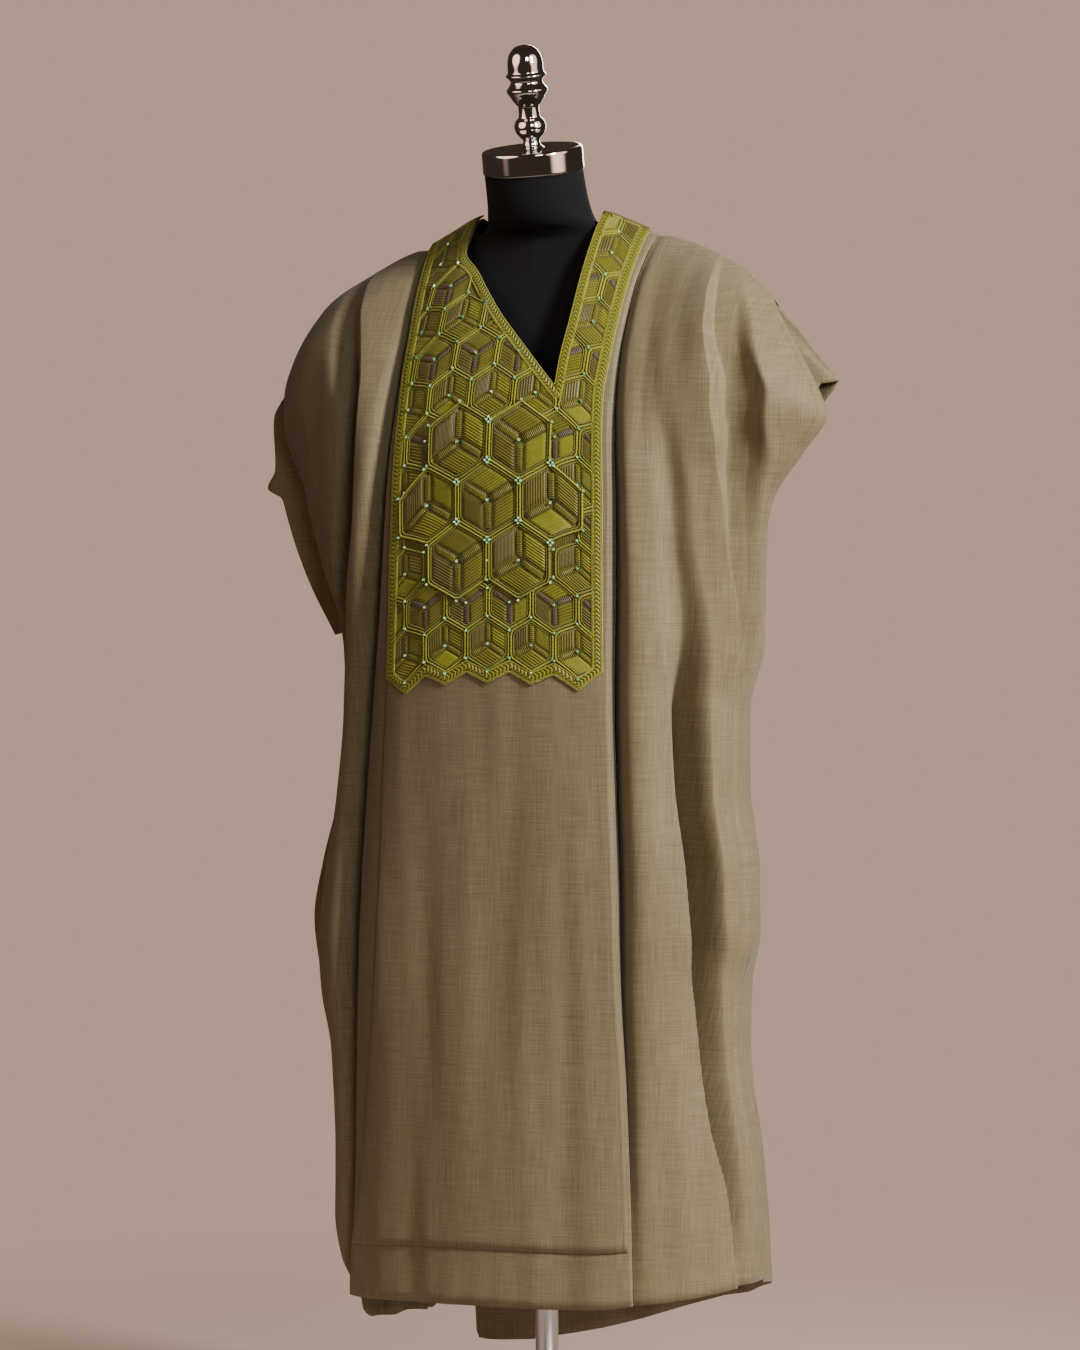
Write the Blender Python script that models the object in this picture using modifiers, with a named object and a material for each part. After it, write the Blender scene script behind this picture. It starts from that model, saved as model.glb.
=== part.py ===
"""A grand boubou robe worn by a limbless dress form on a pole stand.

The robe is cloth 1.6 mm thick. Its sections are superellipses round the form, taken along
each column of cloth from the shoulder line down to the hem. The folds of a sleeve are rails:
lines of cloth down it, each a trough or a crest, that the columns of its wall follow. The
front of the robe faces -Y, the wearer's left is +X, and the origin is on the floor under
the pole. All sizes are in metres.
"""
import math

import bpy
import numpy as np
from mathutils import Matrix

# Driving sizes
CLOTH = 0.0016
PANEL_CLOTH = 0.0013
PLASTRON_CLOTH = 0.0016
SEAM_GAP = 0.0004
LAY_GAP = 0.0004
SIDE_GAP = 0.00045
RIDGE_GAP = 0.0005
RIDGE_ROUND = 0.008
NECK_TIP_W = 0.1605
PANEL_END_W = 0.948
PLASTRON_CORNER_W = 0.410
PLASTRON_NOTCH_W = 0.421
PLASTRON_POINT_W = 0.4315
PANEL_EDGE_INSET = 0.004
TUCK_DEPTH_SHARE = 0.45

BASE_RADIUS = 0.175
BASE_HEIGHT = 0.012
POLE_RADIUS = 0.0135
FORM_BOTTOM = 0.78
CAP_RADIUS = 0.0592
CAP_HEIGHT = 0.027
CAP_TILT = math.radians(11)
CAP_SEAT = (0.0, -0.0365, 1.5355)
TOUCH_GAP = 0.0003

FRONT, BACK = -1, 1
LEFT, RIGHT = 1, -1


def table(names, rows):
    """Rows of numbers as a dict of named columns."""
    return dict(zip(names.split(), np.array(rows, float).T))


# Height of the shoulder line over x, across both shoulders
SHOULDER_LINE = table("x z", [
    (-0.40, 1.205), (-0.36, 1.265), (-0.3155, 1.335), (-0.2786, 1.386), (-0.238, 1.4105),
    (-0.19, 1.4350), (-0.1555, 1.4480), (-0.13, 1.4610), (-0.08, 1.4840), (0.0, 1.491),
    (0.075, 1.4860), (0.11, 1.4740), (0.143, 1.4610), (0.208, 1.4402), (0.246, 1.4205),
    (0.263, 1.4068), (0.31, 1.367), (0.344, 1.3252), (0.37, 1.2933), (0.41, 1.240)])

# How the cloth turns over the shoulder line: the drop it takes, and how sharply it starts
TURN = table("x front_drop front_power back_drop back_power", [
    (0.00, 0.300, 0.92, 0.220, 0.62), (0.15, 0.290, 0.88, 0.200, 0.60),
    (0.20, 0.220, 0.70, 0.170, 0.55), (0.26, 0.130, 0.52, 0.130, 0.52),
    (0.45, 0.120, 0.50, 0.120, 0.50)])

# Height of the hem over x, in front and behind
HEM_FRONT = table("x z", [
    (-0.30, 0.262), (-0.252, 0.260), (-0.228, 0.254), (-0.224, 0.243), (-0.217, 0.209),
    (-0.10, 0.215), (0.0, 0.218), (0.0865, 0.219), (0.14, 0.222), (0.19, 0.230),
    (0.25, 0.243), (0.32, 0.250)])
HEM_BACK = table("x z", [
    (-0.30, 0.262), (-0.252, 0.260), (-0.248, 0.172), (-0.2435, 0.160), (-0.231, 0.158),
    (-0.2165, 0.162), (-0.205, 0.162), (-0.190, 0.192), (-0.1615, 0.200), (-0.158, 0.124),
    (-0.136, 0.1215), (-0.095, 0.1245), (-0.055, 0.131), (0.0, 0.1436), (0.052, 0.1585),
    (0.105, 0.177), (0.195, 0.208), (0.25, 0.236), (0.32, 0.250)])

# Half width of the robe down each side, by the share w of the drop to the hem, and how
# much narrower the back of an arm opening is
HALF_WIDTH = table("w left right back_less", [
    (0.00, 0.288, 0.315, 0.0), (0.06, 0.335, 0.335, 0.022), (0.10, 0.362, 0.330, 0.038),
    (0.12, 0.370, 0.322, 0.044), (0.16, 0.340, 0.303, 0.045), (0.208, 0.303, 0.290, 0.038),
    (0.268, 0.288, 0.274, 0.028), (0.33, 0.276, 0.257, 0.012), (0.37, 0.266, 0.252, 0.0),
    (0.426, 0.250, 0.252, 0.0), (0.507, 0.249, 0.262, 0.0), (0.590, 0.264, 0.285, 0.0),
    (0.650, 0.264, 0.296, 0.0), (0.700, 0.251, 0.290, 0.0), (0.762, 0.249, 0.271, 0.0),
    (0.872, 0.266, 0.262, 0.0), (0.950, 0.274, 0.262, 0.0), (1.00, 0.277, 0.253, 0.0)])

# Depth of the robe in front of and behind the form, and the squareness of its sections
DEPTH = table("w front back power", [
    (0.00, 0.136, 0.122, 1.30), (0.10, 0.136, 0.124, 1.60), (0.16, 0.137, 0.126, 1.85),
    (0.25, 0.137, 0.128, 2.20), (0.40, 0.138, 0.132, 2.45), (0.60, 0.143, 0.138, 2.45),
    (0.80, 0.150, 0.150, 2.40), (1.00, 0.158, 0.162, 2.35)])

# Half width of the arm opening between the front and back edges of a sleeve
ARM_OPENING = table("w half", [
    (0.00, 0.0004), (0.015, 0.012), (0.05, 0.023), (0.10, 0.034), (0.18, 0.037),
    (0.26, 0.030), (0.32, 0.013), (0.36, 0.0014), (0.38, 0.0), (1.00, 0.0)])

# The pleat line beside the centre panel: its x, and the pleat's depth
PLEAT = table("w left right left_depth right_depth left_mouth right_mouth", [
    (0.00, 0.1435, -0.1555, 0.0010, 0.0010, 0.007, 0.007),
    (0.02, 0.1390, -0.1530, 0.0016, 0.0016, 0.007, 0.007),
    (0.055, 0.1350, -0.149, 0.0030, 0.0030, 0.007, 0.007),
    (0.10, 0.1350, -0.1440, 0.0060, 0.0060, 0.007, 0.008),
    (0.17, 0.1380, -0.1470, 0.0100, 0.0130, 0.008, 0.011),
    (0.25, 0.1420, -0.1550, 0.0150, 0.0210, 0.009, 0.015),
    (0.34, 0.1410, -0.1660, 0.0210, 0.0300, 0.010, 0.018),
    (0.42, 0.1395, -0.1760, 0.0250, 0.0340, 0.010, 0.019),
    (0.50, 0.1420, -0.1840, 0.0260, 0.0350, 0.010, 0.019),
    (0.60, 0.1480, -0.1890, 0.0240, 0.0350, 0.010, 0.018),
    (0.70, 0.1520, -0.1930, 0.0190, 0.0340, 0.009, 0.017),
    (0.80, 0.1600, -0.1990, 0.0130, 0.0320, 0.009, 0.015),
    (0.90, 0.1670, -0.2020, 0.0070, 0.0300, 0.008, 0.014),
    (1.00, 0.1720, -0.2150, 0.0030, 0.0270, 0.008, 0.013)])
BACK_PLEAT_SHARE = 0.55
SLEEVE_LIFT = table("w lift", [
    (0.00, 0.0030), (0.05, 0.0050), (0.20, 0.0045), (0.45, 0.0015), (0.60, 0.0), (1.00, 0.0)])

# Neck opening: x of its two front edges, which meet at its tip and go on as one column
NECK = table("w right_edge left_edge", [
    (0.0000, -0.0820, 0.0750), (0.0060, -0.0890, 0.0740), (0.0225, -0.0900, 0.0735),
    (0.0360, -0.0850, 0.0735), (0.0560, -0.0600, 0.0735), (0.0775, -0.0370, 0.0735),
    (0.0990, -0.0130, 0.0730), (0.1340, 0.0330, 0.0695), (0.1605, 0.0680, 0.0680)])
BELOW_NECK = table("w x", [(0.1605, 0.0680), (0.43, 0.0738), (PANEL_END_W, 0.0892), (1.0, 0.0892)])
BACK_NECK_DROP = 0.030

# How far inside the pleat line the plastron's edge and the outer flat column lie, and how
# far outside that column the sewn-on panel's edge lies on the wearer's right
INSET = table("w left right step", [
    (0.00, 0.0100, 0.0060, 0.002), (0.05, 0.0065, 0.0060, 0.002), (0.12, 0.0080, 0.0075, 0.002),
    (0.16, 0.0120, 0.0120, 0.002), (0.30, 0.0120, 0.0200, 0.002), (0.43, 0.0100, 0.0300, 0.004),
    (0.50, 0.0100, 0.0350, 0.006), (0.60, 0.0100, 0.0380, 0.006), (0.70, 0.0100, 0.0350, 0.006),
    (0.77, 0.0100, 0.0320, 0.006), (0.87, 0.0100, 0.0230, 0.006), (PANEL_END_W, 0.0100, 0.0120, 0.006),
    (1.00, 0.0100, 0.0100, 0.006)])

# Shallow folds of the centre cloth: x at their start and end, half width, depth
CENTRE_FOLD_NAMES = "face w_start w_end x_start x_end width depth"
CENTRE_FOLDS = [dict(zip(CENTRE_FOLD_NAMES.split(), row)) for row in [
    (FRONT, 0.46, 1.30, -0.085, -0.120, 0.026, 0.0040),
    (FRONT, 0.46, 0.85, 0.020, 0.000, 0.026, 0.0030),
    (FRONT, 0.50, 1.30, 0.085, 0.095, 0.024, 0.0035),
    (BACK, 0.08, 1.30, -0.060, -0.100, 0.026, 0.0100),
    (BACK, 0.12, 1.30, 0.000, -0.010, 0.022, 0.0070),
    (BACK, 0.08, 1.30, 0.060, 0.090, 0.026, 0.0110)]]

# Rails of a sleeve: lines of cloth down it, each as rows of (w, share of the cloth from the
# pleat line to the side edge, depth in mm). Depth is inwards: a trough, and minus a crest.
RAILS = {
    (LEFT, FRONT): [
        [(0, .10, 0), (.06, .085, -1), (.15, .105, -3), (.24, .12, -4), (.34, .135, -5),
         (.57, .155, -5), (.71, .165, -3), (.90, .16, 0), (1, .16, 0)],
        [(0, .22, 0), (.10, .15, 0), (.15, .155, 0), (.195, .20, 0), (.24, .24, -1),
         (.30, .26, -1), (.365, .29, -1), (.425, .36, -1), (.58, .42, 0), (.665, .465, 0),
         (.755, .535, 0), (.84, .57, 0), (.905, .66, 0), (1, .70, 0)],
        [(0, .30, 0), (.09, .19, 1), (.12, .19, 6), (.155, .22, 15), (.193, .30, 23),
         (.24, .35, 28), (.30, .38, 32), (.36, .415, 35), (.425, .47, 36), (.58, .505, 36),
         (.665, .55, 34), (.755, .615, 29), (.84, .64, 22), (.905, .715, 13), (1, .77, 4)],
        [(0, .40, 0), (.08, .28, 0), (.145, .33, -1), (.19, .41, -2), (.235, .48, -3),
         (.30, .52, -3), (.36, .58, -3), (.42, .65, -2), (.58, .69, -1), (.665, .73, 0),
         (.755, .79, 0), (.845, .82, 0), (.91, .84, 0), (1, .86, 0)],
        [(0, .56, 0), (.02, .53, -3), (.05, .485, -6), (.083, .455, -7), (.133, .475, -7),
         (.185, .585, -7), (.235, .665, -6), (.285, .695, -5), (.335, .745, -4),
         (.40, .80, -2), (.60, .83, 0), (.80, .87, 0), (1, .90, 0)],
        [(0, .60, 0), (.02, .57, 4), (.05, .525, 12), (.083, .50, 20), (.13, .522, 24),
         (.182, .635, 24), (.235, .71, 22), (.285, .75, 19), (.335, .80, 13), (.40, .86, 6),
         (.60, .87, 4), (.80, .90, 4), (1, .93, 0)],
        [(0, .68, 0), (.04, .66, 5), (.083, .61, 14), (.13, .64, 17), (.18, .75, 15),
         (.235, .83, 12), (.285, .86, 8), (.335, .88, 5), (.40, .91, 4), (.60, .91, 4),
         (.80, .93, 3), (1, .95, 0)],
        [(0, .78, 0), (.037, .745, -1), (.09, .70, -3), (.138, .73, -4), (.17, .815, -3),
         (.193, .87, -2), (.245, .92, -1), (.35, .94, 0), (.60, .95, 0), (1, .97, 0)],
    ],
    (RIGHT, FRONT): [
        [(0, .12, 0), (.05, .12, -1), (.10, .11, -3), (.165, .12, -5), (.24, .13, -7),
         (.33, .17, -9), (.45, .21, -9), (.615, .22, -8), (.80, .24, -5), (1, .25, -3)],
        [(0, .42, 0), (.02, .37, -2), (.052, .31, -4), (.08, .27, -5), (.128, .23, -6),
         (.175, .23, -6), (.24, .23, -7), (.325, .32, -6), (.42, .38, -5), (.52, .40, -5),
         (.70, .42, -3), (1, .44, -1)],
        [(0, .50, 0), (.025, .45, 6), (.06, .385, 16), (.10, .345, 24), (.15, .325, 28),
         (.20, .35, 30), (.25, .39, 30), (.30, .48, 26), (.36, .58, 20), (.45, .61, 18),
         (.60, .61, 18), (.80, .61, 13), (1, .60, 4)],
        [(0, .60, 0), (.03, .56, 2), (.077, .50, 6), (.145, .46, 6), (.22, .52, 5),
         (.28, .58, 3), (.33, .68, 1), (.42, .78, 0), (.60, .80, 0), (1, .78, 0)],
        [(0, .76, 0), (.05, .70, 0), (.10, .66, 4), (.20, .70, 6), (.30, .78, 4),
         (.42, .88, 1), (.60, .90, 0), (1, .88, 0)],
    ],
    (LEFT, BACK): [
        [(0, .14, 0), (.30, .16, -3), (1, .18, -1)],
        [(0, .35, 0), (.05, .34, 4), (.20, .34, 15), (.50, .39, 22), (.80, .41, 18), (1, .42, 9)],
        [(0, .52, 0), (.10, .50, -2), (.40, .56, -3), (1, .60, 0)],
        [(0, .68, 0), (.03, .67, 4), (.12, .66, 13), (.30, .71, 13), (.50, .75, 8),
         (.80, .75, 12), (1, .76, 6)],
        [(0, .84, 0), (.10, .80, -1), (.40, .88, -1), (1, .89, 0)],
    ],
    (RIGHT, BACK): [
        [(0, .13, 0), (.30, .15, -3), (1, .17, -1)],
        [(0, .32, 0), (.05, .31, 5), (.20, .32, 17), (.50, .37, 22), (.80, .40, 17), (1, .42, 8)],
        [(0, .48, 0), (.10, .47, -2), (.40, .53, -3), (1, .58, 0)],
        [(0, .66, 0), (.03, .65, 3), (.12, .63, 12), (.30, .68, 12), (.50, .72, 9),
         (.80, .74, 12), (1, .75, 5)],
        [(0, .83, 0), (.10, .79, -1), (.40, .87, -1), (1, .88, 0)],
    ],
}
RAILS = {key: [table("w share depth", rail) for rail in rails] for key, rails in RAILS.items()}

# Rows of cloth, as shares of the drop, closest where the cloth turns over the shoulder
TOP_ROWS = [0.0, 0.0004, 0.002, 0.0055, 0.011, 0.020, 0.034, 0.052, 0.076, 0.104, 0.133]
ROWS = np.concatenate([TOP_ROWS, np.linspace(NECK_TIP_W, PANEL_END_W, 15), [1.0]])
FIRST_BELOW_NECK = len(TOP_ROWS)
PANEL_END = len(ROWS) - 2

# Columns of the centre cloth where it turns into the pleat: distance in from the pleat line
# where the pleat is shallow and where it is deep, and share of the pleat's depth. Below them,
# where a sleeve's first columns lie, how it turns at its sides and lifts off the shoulder.
PLEAT_RETURN = table("flat deep share", [
    (0.0004, 0.0004, 1.00), (0.0022, 0.0006, 0.45), (0.0038, 0.0020, 0.06),
    (0.0048, 0.0045, 0.0)])
PLEAT_ROLL = [0.0, 0.12, 0.30, 0.52, 0.75]
SIDE_TURN = 0.006
TYPICAL_DROP = 1.22
LIFT_START = 0.008
LIFT_END_SHARE = 0.25
FOLD_FADE = 0.35
SHALLOW_PLEAT = 0.001
DEEP_PLEAT = 0.007
RIGHT_COLUMNS = 9
LEFT_COLUMNS = 3
BACK_SHARES = [0, 0.04, 0.083, 0.1185, 0.128, 0.24, 0.36, 0.48, 0.60, 0.72, 0.86, 1]


def follow(curve, name, at):
    """A table's column as a smooth curve without overshoot: a cubic between neighbouring
    rows, with the harmonic mean of the slopes on either side as its slope at a row."""
    xs = next(iter(curve.values()))
    ys = curve[name]
    steps = np.diff(xs)
    slopes = np.diff(ys) / steps
    product = slopes[:-1] * slopes[1:]
    total = slopes[:-1] + slopes[1:]
    inner = np.where(product > 0, 2 * product / np.where(total == 0, 1, total), 0)
    ends = np.concatenate([slopes[:1], inner, slopes[-1:]])
    at = np.clip(at, xs[0], xs[-1])
    k = np.clip(np.searchsorted(xs, at, side="right") - 1, 0, len(steps) - 1)
    t = (at - xs[k]) / steps[k]
    rise = ys[k] * (1 + 2 * t) * (1 - t) ** 2 + ys[k + 1] * t * t * (3 - 2 * t)
    lean = ends[k] * t * (1 - t) ** 2 - ends[k + 1] * t * t * (1 - t)
    return rise + steps[k] * lean


def side_name(side):
    return "left" if side == LEFT else "right"


def half_width(w, side, face=FRONT):
    wide = follow(HALF_WIDTH, side_name(side), w)
    return wide - follow(HALF_WIDTH, "back_less", w) if face == BACK else wide


def face_name(face):
    return "front" if face == FRONT else "back"


def top_round(drop, x, face):
    """How far the cloth has turned over the shoulder, from 0 on its line to 1 below it."""
    x = np.abs(x)
    left = 1 - np.clip(drop / follow(TURN, face_name(face) + "_drop", x), 0, 1)
    return np.maximum(1 - left ** 2, 0) ** follow(TURN, face_name(face) + "_power", x)


def heights(w, x_top, x_low, face):
    """Height at share w of the drop between the shoulder line and the hem, and the drop."""
    top = follow(SHOULDER_LINE, "z", x_top)
    low = follow(HEM_FRONT if face == FRONT else HEM_BACK, "z", x_low)
    return top - w * (top - low), w * (top - low)


def section_depth(w, drop, x, face):
    """Depth of the section at the centre line, and at the side edge. The shoulder line
    itself is rounded."""
    full = follow(DEPTH, face_name(face), w) * top_round(drop, x, face)
    low = np.minimum(drop, RIDGE_ROUND)
    full = np.maximum(full, np.sqrt(np.maximum(2 * RIDGE_ROUND * low - low ** 2, 0)))
    edge = follow(ARM_OPENING, "half", w) + SIDE_GAP
    return np.maximum(full, edge + 1e-4), edge


def angle_of(x, w, side, face):
    """The section's angle, 0 at the centre line and a quarter turn at the side, at x."""
    power = follow(DEPTH, "power", w)
    share = np.clip(np.abs(x) / half_width(w, side, face), 0, 1)
    return np.arcsin(share ** (power / 2))


def round_the_body(angle, w, drop, side, face):
    """x, y and the outward normal of the section, a superellipse round the form."""
    power = follow(DEPTH, "power", w)
    wide = half_width(w, side, face)
    across = np.sin(angle) ** (2 / power)
    deep, edge = section_depth(w, drop, wide * across, face)
    ahead = np.maximum(np.cos(angle), 1e-9) ** (2 / power)
    normal_x = side * across ** (power - 1) / wide
    normal_y = face * ahead ** (power - 1) / (deep - edge)
    size = np.hypot(normal_x, normal_y)
    turned = top_round(drop, wide * across, face)
    normal = np.stack([normal_x / size * turned, normal_y / size * turned,
                       np.sqrt(1 - turned ** 2)], axis=-1)
    return side * wide * across, face * (edge + (deep - edge) * ahead), normal


def arc_table(w, side, face):
    """Angles of one section, and the length of cloth from the centre line to each."""
    angle = np.linspace(0, math.pi / 2, 121)
    ws = np.full_like(angle, w)
    x, y, _ = round_the_body(angle, ws, ws * TYPICAL_DROP, side, face)
    arc = np.concatenate([[0], np.cumsum(np.hypot(np.diff(x), np.diff(y)))])
    return angle, arc


def centre_fold_depth(x, w, face):
    """Depth of the centre cloth's folds: each a soft trough between two heights."""
    total = np.zeros_like(w)
    for fold in CENTRE_FOLDS:
        if fold["face"] != face:
            continue
        t = (w - fold["w_start"]) / (fold["w_end"] - fold["w_start"])
        line = fold["x_start"] + (fold["x_end"] - fold["x_start"]) * np.clip(t, 0, 1)
        rise, fall = np.clip(t / FOLD_FADE, 0, 1), np.clip((1 - t) / FOLD_FADE, 0, 1)
        swell = rise * rise * (3 - 2 * rise) * fall * fall * (3 - 2 * fall)
        total += fold["depth"] * swell * np.exp(-((x - line) / fold["width"]) ** 2)
    return total


def drape(angle, w, side, face, x_top, x_low, out):
    """Points of the robe's outer surface at a section angle, moved out by `out`."""
    z, drop = heights(w, x_top, x_low, face)
    x, y, normal = round_the_body(angle, w, drop, side, face)
    y = y + face * RIDGE_GAP * (w < 1e-9)
    return np.stack([x, y, z], axis=-1) + normal * np.asarray(out)[..., None]


def pleat_x(w, side):
    return follow(PLEAT, side_name(side), w)


def pleat_depth(w, side, face):
    depth = follow(PLEAT, side_name(side) + "_depth", w)
    return depth * (BACK_PLEAT_SHARE if face == BACK else 1)


def centre_points(x, w, face, out):
    """Points of the centre cloth at x, on whichever side of the middle each lies."""
    points = np.empty(x.shape + (3,))
    out = out - centre_fold_depth(x, w, face)
    for side in (LEFT, RIGHT):
        angle = angle_of(x, w, side, face)
        there = drape(angle, w, side, face, x, x, out)
        mine = (x >= 0) if side == LEFT else (x < 0)
        points[mine] = there[mine]
    return points


def pleat_edge(w, side, face):
    """x and depth of the centre cloth's last columns, where it turns into the pleat."""
    depth = pleat_depth(w, side, face)
    sharp = np.clip((depth - SHALLOW_PLEAT) / (DEEP_PLEAT - SHALLOW_PLEAT), 0, 1)
    columns = []
    for flat, deep, share in zip(*PLEAT_RETURN.values()):
        inward = flat + (deep - flat) * sharp
        columns.append((pleat_x(w, side) - side * inward, -share * depth))
    return columns


def neck_edges(w):
    """x of the neck opening's edge on the wearer's right and left, equal below its tip."""
    below = follow(BELOW_NECK, "x", w)
    return (np.where(w < NECK_TIP_W, follow(NECK, "right_edge", w), below),
            np.where(w < NECK_TIP_W, follow(NECK, "left_edge", w), below))


def flat_edge(w, side):
    """x of the centre cloth's outer flat column, where the plastron's edge lies."""
    return pleat_x(w, side) - side * follow(INSET, side_name(side), w)


def spread(first, last, count):
    """Evenly spaced columns between two x values of each row, ends included."""
    return [first + (last - first) * k / (count - 1) for k in range(count)]


def split_faces(index, flip):
    """Triangles of a grid of point numbers, every cell cut along the same diagonal."""
    a, b, c, d = index[:-1, :-1], index[:-1, 1:], index[1:, 1:], index[1:, :-1]
    faces = np.stack([a, b, c, a, c, d], axis=-1).reshape(-1, 3)
    return faces[:, ::-1] if flip else faces


def grid_faces(rows, columns, flip):
    return split_faces(np.arange(rows * columns).reshape(rows, columns), flip)


def collection(name):
    found = bpy.data.collections.new(name)
    bpy.context.scene.collection.children.link(found)
    return found


def material(name, colour, roughness, metallic=0.0):
    found = bpy.data.materials.new(name)
    found.use_nodes = True
    shader = found.node_tree.nodes["Principled BSDF"]
    shader.inputs["Base Color"].default_value = (*colour, 1)
    shader.inputs["Roughness"].default_value = roughness
    shader.inputs["Metallic"].default_value = metallic
    return found


def add_object(name, mesh, finish, folder):
    obj = bpy.data.objects.new(name, mesh)
    folder.objects.link(obj)
    mesh.materials.append(finish)
    mesh.shade_smooth()
    return obj


def add_wall(name, points, faces, thickness, finish, folder):
    """An open sheet of points and faces made into a wall, thickened inwards."""
    mesh = bpy.data.meshes.new(name)
    mesh.from_pydata(points.reshape(-1, 3).tolist(), [], faces.tolist())
    mesh.update()
    obj = add_object(name, mesh, finish, folder)
    solid = obj.modifiers.new("thickness", "SOLIDIFY")
    solid.thickness = thickness
    solid.offset = -1
    solid.use_rim = True
    return obj


def add_sheet(name, grid, thickness, finish, folder, flip):
    faces = grid_faces(grid.shape[0], grid.shape[1], flip)
    return add_wall(name, grid, faces, thickness, finish, folder)


def slit_grid(right_block, left_block, joined_from):
    """Two grids side by side that share a column from row `joined_from` down."""
    rows, a = right_block.shape[:2]
    b = left_block.shape[1]
    points = np.concatenate([right_block, left_block], axis=1)
    index = np.arange(rows * (a + b)).reshape(rows, a + b)
    index[joined_from:, a] = index[joined_from:, a - 1]
    faces = np.concatenate([split_faces(index[:, :a], True), split_faces(index[:, a:], True)])
    used, compact = np.unique(faces, return_inverse=True)
    return points.reshape(-1, 3)[used], compact.reshape(faces.shape)


def front_columns(w, ends_in_pleat):
    """x and extra depth of the front's columns, in two blocks beside the neck opening."""
    right_edge, left_edge = neck_edges(w)
    flat = np.zeros_like(w)
    right = [(x, flat) for x in spread(flat_edge(w, RIGHT), right_edge, RIGHT_COLUMNS)]
    left = [(x, flat) for x in spread(left_edge, flat_edge(w, LEFT), LEFT_COLUMNS)]
    if ends_in_pleat:
        right = pleat_edge(w, RIGHT, FRONT) + right
        left = left + pleat_edge(w, LEFT, FRONT)[::-1]
    return right, left


def block(columns, w, face, out):
    x = np.stack([c[0] for c in columns], axis=1)
    extra = np.stack([c[1] for c in columns], axis=1)
    ws = np.repeat(w[:, None], x.shape[1], axis=1)
    return centre_points(x, ws, face, out + extra)


def make_front(folder, finish):
    right, left = front_columns(ROWS, True)
    points, faces = slit_grid(block(right, ROWS, FRONT, 0.0), block(left, ROWS, FRONT, 0.0),
                              FIRST_BELOW_NECK)
    return add_wall("robe_front", points, faces, CLOTH, finish, folder)


def make_centre_panel(folder, finish):
    """The sewn-on panel from the tip of the neck opening to above the hem."""
    w = ROWS[FIRST_BELOW_NECK:PANEL_END + 1]
    right, left = front_columns(w, False)
    right_edge = flat_edge(w, RIGHT) - follow(INSET, "step", w)
    left_edge = pleat_x(w, LEFT) - PANEL_EDGE_INSET
    columns = [right_edge] + [c[0] for c in right] + [c[0] for c in left[1:]] + [left_edge]
    grid = block([(x, np.zeros_like(w)) for x in columns], w, FRONT, LAY_GAP + PANEL_CLOTH)
    return add_sheet("centre_panel", grid, PANEL_CLOTH, finish, folder, flip=True)


def make_plastron(folder, finish):
    """The embroidered yoke: two straps round the neck opening and a panel below it, with
    a zigzag lower edge. It is made from the front's own columns, moved out."""
    w = np.concatenate([ROWS[ROWS < PLASTRON_CORNER_W - 0.01], [PLASTRON_CORNER_W]])
    out = 3 * LAY_GAP + PANEL_CLOTH + PLASTRON_CLOTH
    blocks, first = [], 0
    for columns in front_columns(w, False):
        x = np.stack([c[0] for c in columns], axis=1)
        ws = np.repeat(w[:, None], x.shape[1], axis=1)
        number = first + np.arange(x.shape[1])
        last = RIGHT_COLUMNS + LEFT_COLUMNS - 2
        ws[-1] = np.where(number % 2 == 1, PLASTRON_POINT_W, PLASTRON_NOTCH_W)
        ws[-1][(number == 0) | (number == last)] = PLASTRON_CORNER_W
        blocks.append(centre_points(x, ws, FRONT, out))
        first = number[-1]
    points, faces = slit_grid(*blocks, FIRST_BELOW_NECK)
    return add_wall("plastron", points, faces, PLASTRON_CLOTH, finish, folder)


def make_back(folder, finish):
    """The back cloth, whose top edge dips under the neck."""
    edges = [pleat_edge(ROWS, side, BACK) for side in (RIGHT, LEFT)]
    first, last = flat_edge(ROWS, RIGHT), flat_edge(ROWS, LEFT)
    middle = [(first + (last - first) * share, np.zeros_like(ROWS)) for share in BACK_SHARES]
    columns = edges[0] + middle + edges[1][::-1]
    x = np.stack([c[0] for c in columns], axis=1)
    extra = np.stack([c[1] for c in columns], axis=1)
    first, last = NECK["right_edge"][0], NECK["left_edge"][0]
    off_centre = (x[0] - (first + last) / 2) / ((last - first) / 2)
    dip = BACK_NECK_DROP * np.sqrt(np.clip(1 - off_centre ** 2, 0, 1))
    ws = dip[None, :] + ROWS[:, None] * (1 - dip[None, :])
    grid = centre_points(x, ws, BACK, extra)
    return add_sheet("robe_back", grid, CLOTH, finish, folder, flip=False)


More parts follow.
